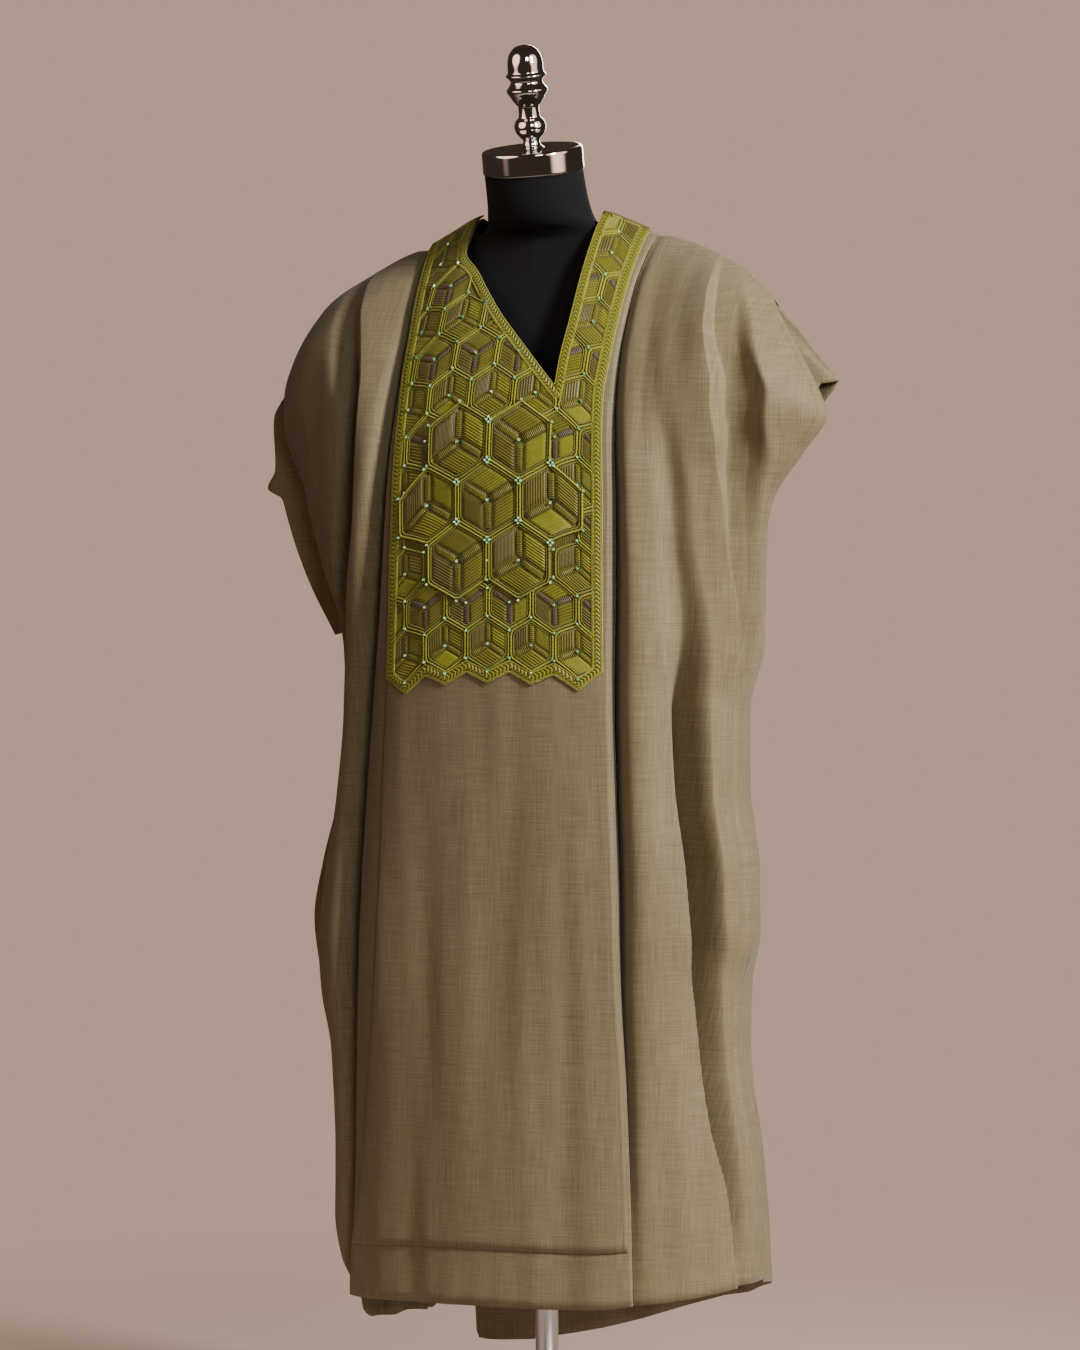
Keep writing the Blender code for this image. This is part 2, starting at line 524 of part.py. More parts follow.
def sleeve_grid(side, face, w):
    """A sleeve from the pleat line to its outer edge: columns that roll out of the pleat,
    then one along each rail, and one beside the edge."""
    rails = RAILS[side, face]
    near = len(PLEAT_ROLL)
    angle = np.empty((len(w), near + len(rails) + 2))
    length = np.empty_like(angle)
    for row, here in enumerate(w):
        angles, arcs = arc_table(here, side, face)
        start = np.interp(angle_of(pleat_x(here, side), here, side, face), angles, arcs)
        reach = arcs[-1] - start
        shares = [follow(rail, "share", here) for rail in rails]
        roll = [reach * shares[0] * part for part in PLEAT_ROLL]
        length[row] = roll + [reach * g for g in shares] + [reach - SIDE_TURN, reach]
        angle[row] = np.interp(start + length[row], arcs, angles)
        angle[row, -1] = math.pi / 2
    ws = np.repeat(w[:, None], angle.shape[1], axis=1)
    share = length / length[:, -1:]
    line = np.abs(pleat_x(ws, side))
    x_top = side * (line + share * (half_width(np.zeros_like(ws), side) - line))
    x_low = side * (line + share * (half_width(np.ones_like(ws), side) - line))
    mouth = follow(PLEAT, side_name(side) + "_mouth", ws)
    depth = (pleat_depth(ws, side, face) + SEAM_GAP) * np.exp(-(length / mouth) ** 1.5)
    for k, rail in enumerate(rails):
        depth[:, near + k] += follow(rail, "depth", w) / 1000
    lift = follow(SLEEVE_LIFT, "lift", ws) * (1 - np.exp(-(length / LIFT_START) ** 2))
    lift = lift * np.clip((1 - share) / LIFT_END_SHARE, 0, 1)
    return drape(angle, ws, side, face, x_top, x_low, lift - depth)


def make_sleeve(side, face, folder, finish):
    name = f"sleeve_{side_name(side)}_{'front' if face == FRONT else 'back'}"
    flip = (side == LEFT) == (face == FRONT)
    return add_sheet(name, sleeve_grid(side, face, ROWS), CLOTH, finish, folder, flip)


# The tucked end of each sleeve, which shows past the front layer at the shoulder: points
# of its inner and outer edge, down the front (face -1) and the back (face 1). A height of
# zero stands for the shoulder line.
TUCK_NAMES = "face inner_x inner_z outer_x outer_z"
TUCK_DROP = {LEFT: 0.0050, RIGHT: 0.0060}
TUCKS = {
    LEFT: table(TUCK_NAMES, [
        (-1, 0.255, 1.300, 0.335, 1.262), (-1, 0.255, 1.345, 0.350, 1.286),
        (-1, 0.255, 1.385, 0.3655, 1.2885), (0, 0.255, 0, 0.3690, 0),
        (1, 0.255, 1.385, 0.3645, 1.2860), (1, 0.255, 1.340, 0.352, 1.270),
        (1, 0.255, 1.290, 0.330, 1.250)]),
    RIGHT: table(TUCK_NAMES, [
        (-1, 0.262, 0.992, 0.278, 0.988), (-1, 0.255, 1.078, 0.318, 1.076),
        (-1, 0.255, 1.150, 0.344, 1.152), (-1, 0.255, 1.168, 0.365, 1.164),
        (-1, 0.257, 1.195, 0.355, 1.186), (-1, 0.260, 1.290, 0.361, 1.250),
        (-1, 0.262, 1.372, 0.352, 1.268), (0, 0.265, 0, 0.3450, 0),
        (1, 0.262, 1.372, 0.346, 1.270), (1, 0.260, 1.300, 0.335, 1.220)]),
}
TUCK_COLUMNS = 5


def tuck_grid(side):
    """A fold of cloth over the shoulder line, between the front and back layers."""
    rows = {name: values[:, None] for name, values in TUCKS[side].items()}
    across = np.linspace(0, 1, TUCK_COLUMNS)[None, :]
    x = rows["inner_x"] + (rows["outer_x"] - rows["inner_x"]) * across
    line = follow(SHOULDER_LINE, "z", side * x) - TUCK_DROP[side]
    z = rows["inner_z"] + (rows["outer_z"] - rows["inner_z"]) * across
    z = np.where(rows["face"] == 0, line, z)
    w = np.clip((line - z) / TYPICAL_DROP, 0, 1)
    y = rows["face"] * TUCK_DEPTH_SHARE * follow(ARM_OPENING, "half", w)
    return np.stack([side * x, y, z], axis=-1)


def make_tuck(side, folder, finish):
    return add_sheet(f"sleeve_{side_name(side)}_tuck", tuck_grid(side), CLOTH, finish, folder,
                     flip=(side == LEFT))


# The dress form's sections: height, half width, depth in front and behind, centre y, tilt,
# and squareness, which is low where the section runs through both shoulders
FORM = table("z wide front back y tilt power", [
    (0.780, 0.140, 0.090, 0.090, 0.000, 0, 2.2), (0.790, 0.157, 0.104, 0.104, 0.000, 0, 2.2),
    (0.860, 0.163, 0.109, 0.109, 0.000, 0, 2.2), (0.940, 0.151, 0.104, 0.100, 0.000, 0, 2.2),
    (1.030, 0.143, 0.100, 0.092, 0.000, 0, 2.2), (1.140, 0.158, 0.108, 0.098, 0.000, 0, 2.2),
    (1.240, 0.176, 0.108, 0.101, 0.000, 0, 2.1), (1.310, 0.188, 0.094, 0.091, 0.000, 0, 1.9),
    (1.365, 0.194, 0.074, 0.078, 0.000, 0, 1.7), (1.396, 0.194, 0.060, 0.068, 0.000, 0, 1.5),
    (1.418, 0.187, 0.048, 0.058, 0.000, 0, 1.35), (1.431, 0.177, 0.042, 0.052, 0.000, 0, 1.35),
    (1.4462, 0.1535, 0.036, 0.046, 0.000, 0, 1.35), (1.458, 0.118, 0.032, 0.042, 0.000, 1, 1.4),
    (1.468, 0.078, 0.034, 0.042, -0.005, 4, 1.6), (1.482, 0.064, 0.054, 0.054, -0.017, 7, 2.0),
    (1.505, 0.0590, 0.0580, 0.0580, -0.0265, 10, 2.0),
    (1.5352, 0.0575, 0.0575, 0.0575, -0.0365, 11, 2.0)])
FORM_SEGMENTS = 28


def make_form(folder, finish):
    """The limbless torso, its sections superellipses, closed above and below."""
    turn = np.linspace(0, 2 * math.pi, FORM_SEGMENTS, endpoint=False)[None, :]
    cos, sin = np.cos(turn), np.sin(turn)
    column = {name: values[:, None] for name, values in FORM.items()}
    x = column["wide"] * np.sign(cos) * np.abs(cos) ** (2 / column["power"])
    ahead = np.sign(sin) * np.abs(sin) ** (2 / column["power"])
    y = np.where(sin < 0, column["front"], column["back"]) * ahead
    z = column["z"] + y * np.tan(np.radians(column["tilt"]))
    points = np.stack([x, y + column["y"], z], axis=-1)
    rings = len(FORM["z"])
    index = np.arange(rings * FORM_SEGMENTS).reshape(rings, FORM_SEGMENTS)
    after = np.roll(index, -1, axis=1)
    sides = np.stack([index[:-1], after[:-1], after[1:], index[1:]], axis=-1).reshape(-1, 4)
    faces = sides.tolist() + [index[0][::-1].tolist(), index[-1].tolist()]
    mesh = bpy.data.meshes.new("form_torso")
    mesh.from_pydata(points.reshape(-1, 3).tolist(), [], faces)
    mesh.update()
    return add_object("form_torso", mesh, finish, folder)


# Turned profiles as radius and height, from the lowest point up
FINIAL = [
    (0.0, 0.0), (0.0147, 0.0), (0.0105, 0.0042), (0.0095, 0.0089), (0.0128, 0.0132),
    (0.0172, 0.0193), (0.0186, 0.0254), (0.0170, 0.0315), (0.0126, 0.0371), (0.0120, 0.0479),
    (0.0160, 0.0536), (0.0207, 0.0611), (0.0241, 0.0681), (0.0212, 0.0724), (0.0186, 0.0780),
    (0.0204, 0.0813), (0.0237, 0.0851), (0.0210, 0.0893), (0.0207, 0.0987), (0.0192, 0.1072),
    (0.0152, 0.1142), (0.0086, 0.1192), (0.0, 0.1208)]
CAP = [
    (0.0, 0.0), (CAP_RADIUS - 0.0015, 0.0), (CAP_RADIUS, 0.0015),
    (CAP_RADIUS, CAP_HEIGHT - 0.003), (CAP_RADIUS - 0.001, CAP_HEIGHT - 0.0008),
    (CAP_RADIUS - 0.0035, CAP_HEIGHT), (0.0, CAP_HEIGHT)]
BASE = [
    (0.0, 0.0), (BASE_RADIUS - 0.003, 0.0), (BASE_RADIUS, 0.003), (BASE_RADIUS, 0.008),
    (BASE_RADIUS - 0.004, BASE_HEIGHT - 0.001), (BASE_RADIUS - 0.012, BASE_HEIGHT),
    (0.045, 0.020), (0.024, 0.028), (0.022, 0.040), (0.0, 0.040)]


def add_turned(name, profile, steps, seat, finish, folder):
    """A profile turned about its own Z with a Screw, then set on its seat."""
    mesh = bpy.data.meshes.new(name)
    outline = [(r, 0, z) for r, z in profile[::-1]]
    mesh.from_pydata(outline, [(k, k + 1) for k in range(len(outline) - 1)], [])
    obj = add_object(name, mesh, finish, folder)
    obj.matrix_world = seat
    screw = obj.modifiers.new("turn", "SCREW")
    screw.steps = screw.render_steps = steps
    screw.use_merge_vertices = True
    screw.merge_threshold = 0.0001
    return obj


def add_pole(bottom, top, finish, folder):
    """The stand's pole, a straight tube with filled ends."""
    curve = bpy.data.curves.new("pole", "CURVE")
    curve.dimensions = "3D"
    line = curve.splines.new("POLY")
    line.points.add(1)
    for point, z in zip(line.points, (bottom, top)):
        point.co = (0, 0, z, 1)
    curve.bevel_depth = POLE_RADIUS
    curve.bevel_resolution = 6
    curve.use_fill_caps = True
    obj = bpy.data.objects.new("pole", curve)
    folder.objects.link(obj)
    curve.materials.append(finish)
    return obj


def make_stand(folder, steel, chrome, jersey):
    add_turned("stand_base", BASE, 32, Matrix.Identity(4), steel, folder)
    add_pole(BASE[-1][1] + TOUCH_GAP, FORM_BOTTOM - TOUCH_GAP, steel, folder)
    make_form(folder, jersey)
    tilt = Matrix.Translation(CAP_SEAT) @ Matrix.Rotation(CAP_TILT, 4, "X")
    add_turned("neck_cap", CAP, 36, tilt @ Matrix.Translation((0, 0, TOUCH_GAP)), chrome, folder)
    lift = CAP_HEIGHT + 2 * TOUCH_GAP
    add_turned("finial", FINIAL, 20, tilt @ Matrix.Translation((0, 0, lift)), chrome, folder)


def make_robe(folder, cloth, embroidery):
    make_front(folder, cloth)
    make_back(folder, cloth)
    make_centre_panel(folder, cloth)
    make_plastron(folder, embroidery)
    for side in (LEFT, RIGHT):
        for face in (FRONT, BACK):
            make_sleeve(side, face, folder, cloth)
        make_tuck(side, folder, cloth)


def main():
    for obj in list(bpy.data.objects):
        bpy.data.objects.remove(obj)
    folder = collection("grand_boubou_robe")
    cloth = material("suiting_cloth", (0.235, 0.190, 0.115), 0.72)
    embroidery = material("embroidery_thread", (0.230, 0.210, 0.012), 0.55)
    jersey = material("form_jersey", (0.010, 0.011, 0.014), 0.85)
    chrome = material("chrome", (0.62, 0.62, 0.64), 0.08, 1.0)
    steel = material("brushed_steel", (0.55, 0.55, 0.57), 0.30, 1.0)
    make_robe(folder, cloth, embroidery)
    make_stand(folder, steel, chrome, jersey)


main()
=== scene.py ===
"""Looks of the grand boubou robe on its dress form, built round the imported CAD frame.

The cloth is worked out by the same section functions and tables as the CAD solids, on finer
grids, with finer folds, hems, stitches and the embroidery added. All sizes are in metres,
the front faces -Y, the wearer's left is +X.
"""
import math

import bpy
import numpy as np
from mathutils import Matrix, Vector


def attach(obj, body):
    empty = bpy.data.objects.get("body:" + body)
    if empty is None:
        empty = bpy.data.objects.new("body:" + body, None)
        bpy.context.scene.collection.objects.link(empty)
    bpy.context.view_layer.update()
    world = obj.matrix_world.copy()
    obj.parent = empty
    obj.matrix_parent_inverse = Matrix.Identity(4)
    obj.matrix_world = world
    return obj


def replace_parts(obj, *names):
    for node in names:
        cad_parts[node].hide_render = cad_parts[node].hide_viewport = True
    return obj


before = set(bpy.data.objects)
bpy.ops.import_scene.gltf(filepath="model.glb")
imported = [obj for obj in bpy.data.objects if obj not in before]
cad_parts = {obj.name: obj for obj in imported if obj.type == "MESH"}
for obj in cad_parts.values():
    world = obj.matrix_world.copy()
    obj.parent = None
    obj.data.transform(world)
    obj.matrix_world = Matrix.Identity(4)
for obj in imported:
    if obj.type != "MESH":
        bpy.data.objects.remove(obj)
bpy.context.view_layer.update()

# Driving sizes
CLOTH = 0.0016
PANEL_CLOTH = 0.0013
PLASTRON_CLOTH = 0.0016
SEAM_GAP = 0.0004
LAY_GAP = 0.0004
SIDE_GAP = 0.00045
RIDGE_GAP = 0.0005
RIDGE_ROUND = 0.008
NECK_TIP_W = 0.1605
PANEL_END_W = 0.948
PLASTRON_CORNER_W = 0.410
PLASTRON_NOTCH_W = 0.421
PLASTRON_POINT_W = 0.4315
PANEL_EDGE_INSET = 0.004
TUCK_DEPTH_SHARE = 0.45

BASE_RADIUS = 0.175
BASE_HEIGHT = 0.012
BASE_TOP = 0.040
POLE_RADIUS = 0.0135
FORM_BOTTOM = 0.78
CAP_HEIGHT = 0.027
CAP_TILT = math.radians(11)
CAP_SEAT = (0.0, -0.0365, 1.5355)
TOUCH_GAP = 0.0003

FRONT, BACK = -1, 1
LEFT, RIGHT = 1, -1


def table(names, rows):
    """Rows of numbers as a dict of named columns."""
    return dict(zip(names.split(), np.array(rows, float).T))


# Height of the shoulder line over x, across both shoulders
SHOULDER_LINE = table("x z", [
    (-0.40, 1.205), (-0.36, 1.265), (-0.3155, 1.335), (-0.2786, 1.386), (-0.238, 1.4105),
    (-0.19, 1.4350), (-0.1555, 1.4480), (-0.13, 1.4610), (-0.08, 1.4840), (0.0, 1.491),
    (0.075, 1.4860), (0.11, 1.4740), (0.143, 1.4610), (0.208, 1.4402), (0.246, 1.4205),
    (0.263, 1.4068), (0.31, 1.367), (0.344, 1.3252), (0.37, 1.2933), (0.41, 1.240)])

# How the cloth turns over the shoulder line: the drop it takes, and how sharply it starts
TURN = table("x front_drop front_power back_drop back_power", [
    (0.00, 0.300, 0.92, 0.220, 0.62), (0.15, 0.290, 0.88, 0.200, 0.60),
    (0.20, 0.220, 0.70, 0.170, 0.55), (0.26, 0.130, 0.52, 0.130, 0.52),
    (0.45, 0.120, 0.50, 0.120, 0.50)])

# Height of the hem over x, in front and behind
HEM_FRONT = table("x z", [
    (-0.30, 0.262), (-0.252, 0.260), (-0.228, 0.254), (-0.224, 0.243), (-0.217, 0.209),
    (-0.10, 0.215), (0.0, 0.218), (0.0865, 0.219), (0.14, 0.222), (0.19, 0.230),
    (0.25, 0.243), (0.32, 0.250)])
HEM_BACK = table("x z", [
    (-0.30, 0.262), (-0.252, 0.260), (-0.248, 0.172), (-0.2435, 0.160), (-0.231, 0.158),
    (-0.2165, 0.162), (-0.205, 0.162), (-0.190, 0.192), (-0.1615, 0.200), (-0.158, 0.124),
    (-0.136, 0.1215), (-0.095, 0.1245), (-0.055, 0.131), (0.0, 0.1436), (0.052, 0.1585),
    (0.105, 0.177), (0.195, 0.208), (0.25, 0.236), (0.32, 0.250)])

# The hem behind without its notch, which the cloth above it follows
PLAIN_HEM = {key: np.delete(values, slice(7, 10)) for key, values in HEM_BACK.items()}

# Half width of the robe down each side, by the share w of the drop to the hem, and how
# much narrower the back of an arm opening is
HALF_WIDTH = table("w left right back_less", [
    (0.00, 0.288, 0.315, 0.0), (0.06, 0.335, 0.335, 0.022), (0.10, 0.362, 0.330, 0.038),
    (0.12, 0.370, 0.322, 0.044), (0.16, 0.340, 0.303, 0.045), (0.208, 0.303, 0.290, 0.038),
    (0.268, 0.288, 0.274, 0.028), (0.33, 0.276, 0.257, 0.012), (0.37, 0.266, 0.252, 0.0),
    (0.426, 0.250, 0.252, 0.0), (0.507, 0.249, 0.262, 0.0), (0.590, 0.264, 0.285, 0.0),
    (0.650, 0.264, 0.296, 0.0), (0.700, 0.251, 0.290, 0.0), (0.762, 0.249, 0.271, 0.0),
    (0.872, 0.266, 0.262, 0.0), (0.950, 0.274, 0.262, 0.0), (1.00, 0.277, 0.253, 0.0)])

# Depth of the robe in front of and behind the form, and the squareness of its sections
DEPTH = table("w front back power", [
    (0.00, 0.136, 0.122, 1.30), (0.10, 0.136, 0.124, 1.60), (0.16, 0.137, 0.126, 1.85),
    (0.25, 0.137, 0.128, 2.20), (0.40, 0.138, 0.132, 2.45), (0.60, 0.143, 0.138, 2.45),
    (0.80, 0.150, 0.150, 2.40), (1.00, 0.158, 0.162, 2.35)])

# Half width of the arm opening between the front and back edges of a sleeve
ARM_OPENING = table("w half", [
    (0.00, 0.0004), (0.015, 0.012), (0.05, 0.023), (0.10, 0.034), (0.18, 0.037),
    (0.26, 0.030), (0.32, 0.013), (0.36, 0.0014), (0.38, 0.0), (1.00, 0.0)])

# The pleat line beside the centre panel: its x, and the pleat's depth
PLEAT = table("w left right left_depth right_depth left_mouth right_mouth", [
    (0.00, 0.1435, -0.1555, 0.0010, 0.0010, 0.007, 0.007),
    (0.02, 0.1390, -0.1530, 0.0016, 0.0016, 0.007, 0.007),
    (0.055, 0.1350, -0.149, 0.0030, 0.0030, 0.007, 0.007),
    (0.10, 0.1350, -0.1440, 0.0060, 0.0060, 0.007, 0.008),
    (0.17, 0.1380, -0.1470, 0.0100, 0.0130, 0.008, 0.011),
    (0.25, 0.1420, -0.1550, 0.0150, 0.0210, 0.009, 0.015),
    (0.34, 0.1410, -0.1660, 0.0210, 0.0300, 0.010, 0.018),
    (0.42, 0.1395, -0.1760, 0.0250, 0.0340, 0.010, 0.019),
    (0.50, 0.1420, -0.1840, 0.0260, 0.0350, 0.010, 0.019),
    (0.60, 0.1480, -0.1890, 0.0240, 0.0350, 0.010, 0.018),
    (0.70, 0.1520, -0.1930, 0.0190, 0.0340, 0.009, 0.017),
    (0.80, 0.1600, -0.1990, 0.0130, 0.0320, 0.009, 0.015),
    (0.90, 0.1670, -0.2020, 0.0070, 0.0300, 0.008, 0.014),
    (1.00, 0.1720, -0.2150, 0.0030, 0.0270, 0.008, 0.013)])
BACK_PLEAT_SHARE = 0.55
SLEEVE_LIFT = table("w lift", [
    (0.00, 0.0030), (0.05, 0.0050), (0.20, 0.0045), (0.45, 0.0015), (0.60, 0.0), (1.00, 0.0)])

# Neck opening: x of its two front edges, which meet at its tip and go on as one column
NECK = table("w right_edge left_edge", [
    (0.0000, -0.0820, 0.0750), (0.0060, -0.0890, 0.0740), (0.0225, -0.0900, 0.0735),
    (0.0360, -0.0850, 0.0735), (0.0560, -0.0600, 0.0735), (0.0775, -0.0370, 0.0735),
    (0.0990, -0.0130, 0.0730), (0.1340, 0.0330, 0.0695), (0.1605, 0.0680, 0.0680)])
BELOW_NECK = table("w x", [
    (0.1605, 0.0680), (0.43, 0.0738), (PANEL_END_W, 0.0892), (1.0, 0.0892)])
BACK_NECK_DROP = 0.030

# How far inside the pleat line the plastron's edge and the outer flat column lie, and how
# far outside that column the sewn-on panel's edge lies on the wearer's right
INSET = table("w left right step", [
    (0.00, 0.0100, 0.0060, 0.002), (0.05, 0.0065, 0.0060, 0.002), (0.12, 0.0080, 0.0075, 0.002),
    (0.16, 0.0120, 0.0120, 0.002), (0.30, 0.0120, 0.0200, 0.002), (0.43, 0.0100, 0.0300, 0.004),
    (0.50, 0.0100, 0.0350, 0.006), (0.60, 0.0100, 0.0380, 0.006), (0.70, 0.0100, 0.0350, 0.006),
    (0.77, 0.0100, 0.0320, 0.006), (0.87, 0.0100, 0.0230, 0.006),
    (PANEL_END_W, 0.0100, 0.0120, 0.006), (1.00, 0.0100, 0.0100, 0.006)])

# Shallow folds of the centre cloth: face, w at the start and end, x there, half width, depth
CENTRE_FOLDS = [
    (FRONT, 0.46, 1.30, -0.085, -0.120, 0.026, 0.0040),
    (FRONT, 0.46, 0.85, 0.020, 0.000, 0.026, 0.0030),
    (FRONT, 0.50, 1.30, 0.085, 0.095, 0.024, 0.0035),
    (BACK, 0.08, 1.30, -0.060, -0.100, 0.026, 0.0100),
    (BACK, 0.12, 1.30, 0.000, -0.010, 0.022, 0.0070),
    (BACK, 0.08, 1.30, 0.060, 0.090, 0.026, 0.0110)]

# Rails of a sleeve: lines of cloth down it, each as rows of (w, share of the cloth from the
# pleat line to the side edge, depth in mm). Depth is inwards: a trough, and minus a crest.
RAILS = {
    (LEFT, FRONT): [
        [(0, .10, 0), (.06, .085, -1), (.15, .105, -3), (.24, .12, -4), (.34, .135, -5),
         (.57, .155, -5), (.71, .165, -3), (.90, .16, 0), (1, .16, 0)],
        [(0, .22, 0), (.10, .15, 0), (.15, .155, 0), (.195, .20, 0), (.24, .24, -1),
         (.30, .26, -1), (.365, .29, -1), (.425, .36, -1), (.58, .42, 0), (.665, .465, 0),
         (.755, .535, 0), (.84, .57, 0), (.905, .66, 0), (1, .70, 0)],
        [(0, .30, 0), (.09, .19, 1), (.12, .19, 6), (.155, .22, 15), (.193, .30, 23),
         (.24, .35, 28), (.30, .38, 32), (.36, .415, 35), (.425, .47, 36), (.58, .505, 36),
         (.665, .55, 34), (.755, .615, 29), (.84, .64, 22), (.905, .715, 13), (1, .77, 4)],
        [(0, .40, 0), (.08, .28, 0), (.145, .33, -1), (.19, .41, -2), (.235, .48, -3),
         (.30, .52, -3), (.36, .58, -3), (.42, .65, -2), (.58, .69, -1), (.665, .73, 0),
         (.755, .79, 0), (.845, .82, 0), (.91, .84, 0), (1, .86, 0)],
        [(0, .56, 0), (.02, .53, -3), (.05, .485, -6), (.083, .455, -7), (.133, .475, -7),
         (.185, .585, -7), (.235, .665, -6), (.285, .695, -5), (.335, .745, -4),
         (.40, .80, -2), (.60, .83, 0), (.80, .87, 0), (1, .90, 0)],
        [(0, .60, 0), (.02, .57, 4), (.05, .525, 12), (.083, .50, 20), (.13, .522, 24),
         (.182, .635, 24), (.235, .71, 22), (.285, .75, 19), (.335, .80, 13), (.40, .86, 6),
         (.60, .87, 4), (.80, .90, 4), (1, .93, 0)],
        [(0, .68, 0), (.04, .66, 5), (.083, .61, 14), (.13, .64, 17), (.18, .75, 15),
         (.235, .83, 12), (.285, .86, 8), (.335, .88, 5), (.40, .91, 4), (.60, .91, 4),
         (.80, .93, 3), (1, .95, 0)],
        [(0, .78, 0), (.037, .745, -1), (.09, .70, -3), (.138, .73, -4), (.17, .815, -3),
         (.193, .87, -2), (.245, .92, -1), (.35, .94, 0), (.60, .95, 0), (1, .97, 0)],
    ],
    (RIGHT, FRONT): [
        [(0, .12, 0), (.05, .12, -1), (.10, .11, -3), (.165, .12, -5), (.24, .13, -7),
         (.33, .17, -9), (.45, .21, -9), (.615, .22, -8), (.80, .24, -5), (1, .25, -3)],
        [(0, .42, 0), (.02, .37, -2), (.052, .31, -4), (.08, .27, -5), (.128, .23, -6),
         (.175, .23, -6), (.24, .23, -7), (.325, .32, -6), (.42, .38, -5), (.52, .40, -5),
         (.70, .42, -3), (1, .44, -1)],
        [(0, .50, 0), (.025, .45, 6), (.06, .385, 16), (.10, .345, 24), (.15, .325, 28),
         (.20, .35, 30), (.25, .39, 30), (.30, .48, 26), (.36, .58, 20), (.45, .61, 18),
         (.60, .61, 18), (.80, .61, 13), (1, .60, 4)],
        [(0, .60, 0), (.03, .56, 2), (.077, .50, 6), (.145, .46, 6), (.22, .52, 5),
         (.28, .58, 3), (.33, .68, 1), (.42, .78, 0), (.60, .80, 0), (1, .78, 0)],
        [(0, .76, 0), (.05, .70, 0), (.10, .66, 4), (.20, .70, 6), (.30, .78, 4),
         (.42, .88, 1), (.60, .90, 0), (1, .88, 0)],
    ],
    (LEFT, BACK): [
        [(0, .14, 0), (.30, .16, -3), (1, .18, -1)],
        [(0, .35, 0), (.05, .34, 4), (.20, .34, 15), (.50, .39, 22), (.80, .41, 18), (1, .42, 9)],
        [(0, .52, 0), (.10, .50, -2), (.40, .56, -3), (1, .60, 0)],
        [(0, .68, 0), (.03, .67, 4), (.12, .66, 13), (.30, .71, 13), (.50, .75, 8),
         (.80, .75, 12), (1, .76, 6)],
        [(0, .84, 0), (.10, .80, -1), (.40, .88, -1), (1, .89, 0)],
    ],
    (RIGHT, BACK): [
        [(0, .13, 0), (.30, .15, -3), (1, .17, -1)],
        [(0, .32, 0), (.05, .31, 5), (.20, .32, 17), (.50, .37, 22), (.80, .40, 17), (1, .42, 8)],
        [(0, .48, 0), (.10, .47, -2), (.40, .53, -3), (1, .58, 0)],
        [(0, .66, 0), (.03, .65, 3), (.12, .63, 12), (.30, .68, 12), (.50, .72, 9),
         (.80, .74, 12), (1, .75, 5)],
        [(0, .83, 0), (.10, .79, -1), (.40, .87, -1), (1, .88, 0)],
    ],
}
RAILS = {key: [table("w share depth", rail) for rail in rails] for key, rails in RAILS.items()}


# Columns of the centre cloth where it turns into the pleat: distance in from the pleat line
# where the pleat is shallow and where it is deep, and share of the pleat's depth. Then the
# depths that count as shallow and deep, and how many columns are made of the table's four.
PLEAT_RETURN = table("flat deep share", [
    (0.0004, 0.0004, 1.00), (0.0022, 0.0006, 0.45), (0.0038, 0.0020, 0.06),
    (0.0048, 0.0045, 0.0)])
SHALLOW_PLEAT, DEEP_PLEAT = 0.001, 0.007
RETURN_COLUMNS = 9

# Drops from the shoulder to the hem: one that stands for all, then of each cloth
TYPICAL_DROP, CENTRE_DROP, SLEEVE_DROP = 1.22, 1.27, 1.2
FRONT_DROP, BACK_DROP = 1.26, 1.32
SHOULDER_HEIGHT = 1.48

# Over what length beside the pleat, and what share of the cloth before its edge, a sleeve
# lifts off the shoulder, and over what share of its length a fold of the centre cloth fades
LIFT_START, LIFT_END_SHARE = 0.008, 0.25
FOLD_FADE = 0.35


def cubic(t, low, high, start, end, width):
    """A cubic over t from 0 to 1: its values and its slopes at both ends are given."""
    rise = low * (1 + 2 * t) * (1 - t) ** 2 + high * t * t * (3 - 2 * t)
    return rise + width * (start * t * (1 - t) ** 2 - end * t * t * (1 - t))


def mean_slopes(slopes):
    """The harmonic mean of each slope and the next, or 0 where the curve turns."""
    product = slopes[:-1] * slopes[1:]
    total = slopes[:-1] + slopes[1:]
    return np.where(product > 0, 2 * product / np.where(total == 0, 1, total), 0)


def follow(curve, name, at):
    """A table's column as a smooth curve without overshoot: a cubic between neighbouring
    rows, with the harmonic mean of the slopes on either side as its slope at a row."""
    xs = next(iter(curve.values()))
    ys = curve[name]
    steps = np.diff(xs)
    slopes = np.diff(ys) / steps
    ends = np.concatenate([slopes[:1], mean_slopes(slopes), slopes[-1:]])
    at = np.clip(at, xs[0], xs[-1])
    k = np.clip(np.searchsorted(xs, at, side="right") - 1, 0, len(steps) - 1)
    return cubic((at - xs[k]) / steps[k], ys[k], ys[k + 1], ends[k], ends[k + 1], steps[k])


def side_name(side):
    return "left" if side == LEFT else "right"


def half_width(w, side, face=FRONT):
    wide = follow(HALF_WIDTH, side_name(side), w)
    return wide - follow(HALF_WIDTH, "back_less", w) if face == BACK else wide


def face_name(face):
    return "front" if face == FRONT else "back"


def top_round(drop, x, face):
    """How far the cloth has turned over the shoulder, from 0 on its line to 1 below it."""
    x = np.abs(x)
    left = 1 - np.clip(drop / follow(TURN, face_name(face) + "_drop", x), 0, 1)
    return np.maximum(1 - left ** 2, 0) ** follow(TURN, face_name(face) + "_power", x)


def heights(w, x_top, x_low, face):
    """Height at share w of the drop between the shoulder line and the hem, and the drop."""
    top = follow(SHOULDER_LINE, "z", x_top)
    low = follow(HEM_FRONT if face == FRONT else HEM_BACK, "z", x_low)
    if face == BACK:
        plain = follow(PLAIN_HEM, "z", x_low)
        low = plain + (low - plain) * step(0.80, 1.0, w)
    return top - w * (top - low), w * (top - low)


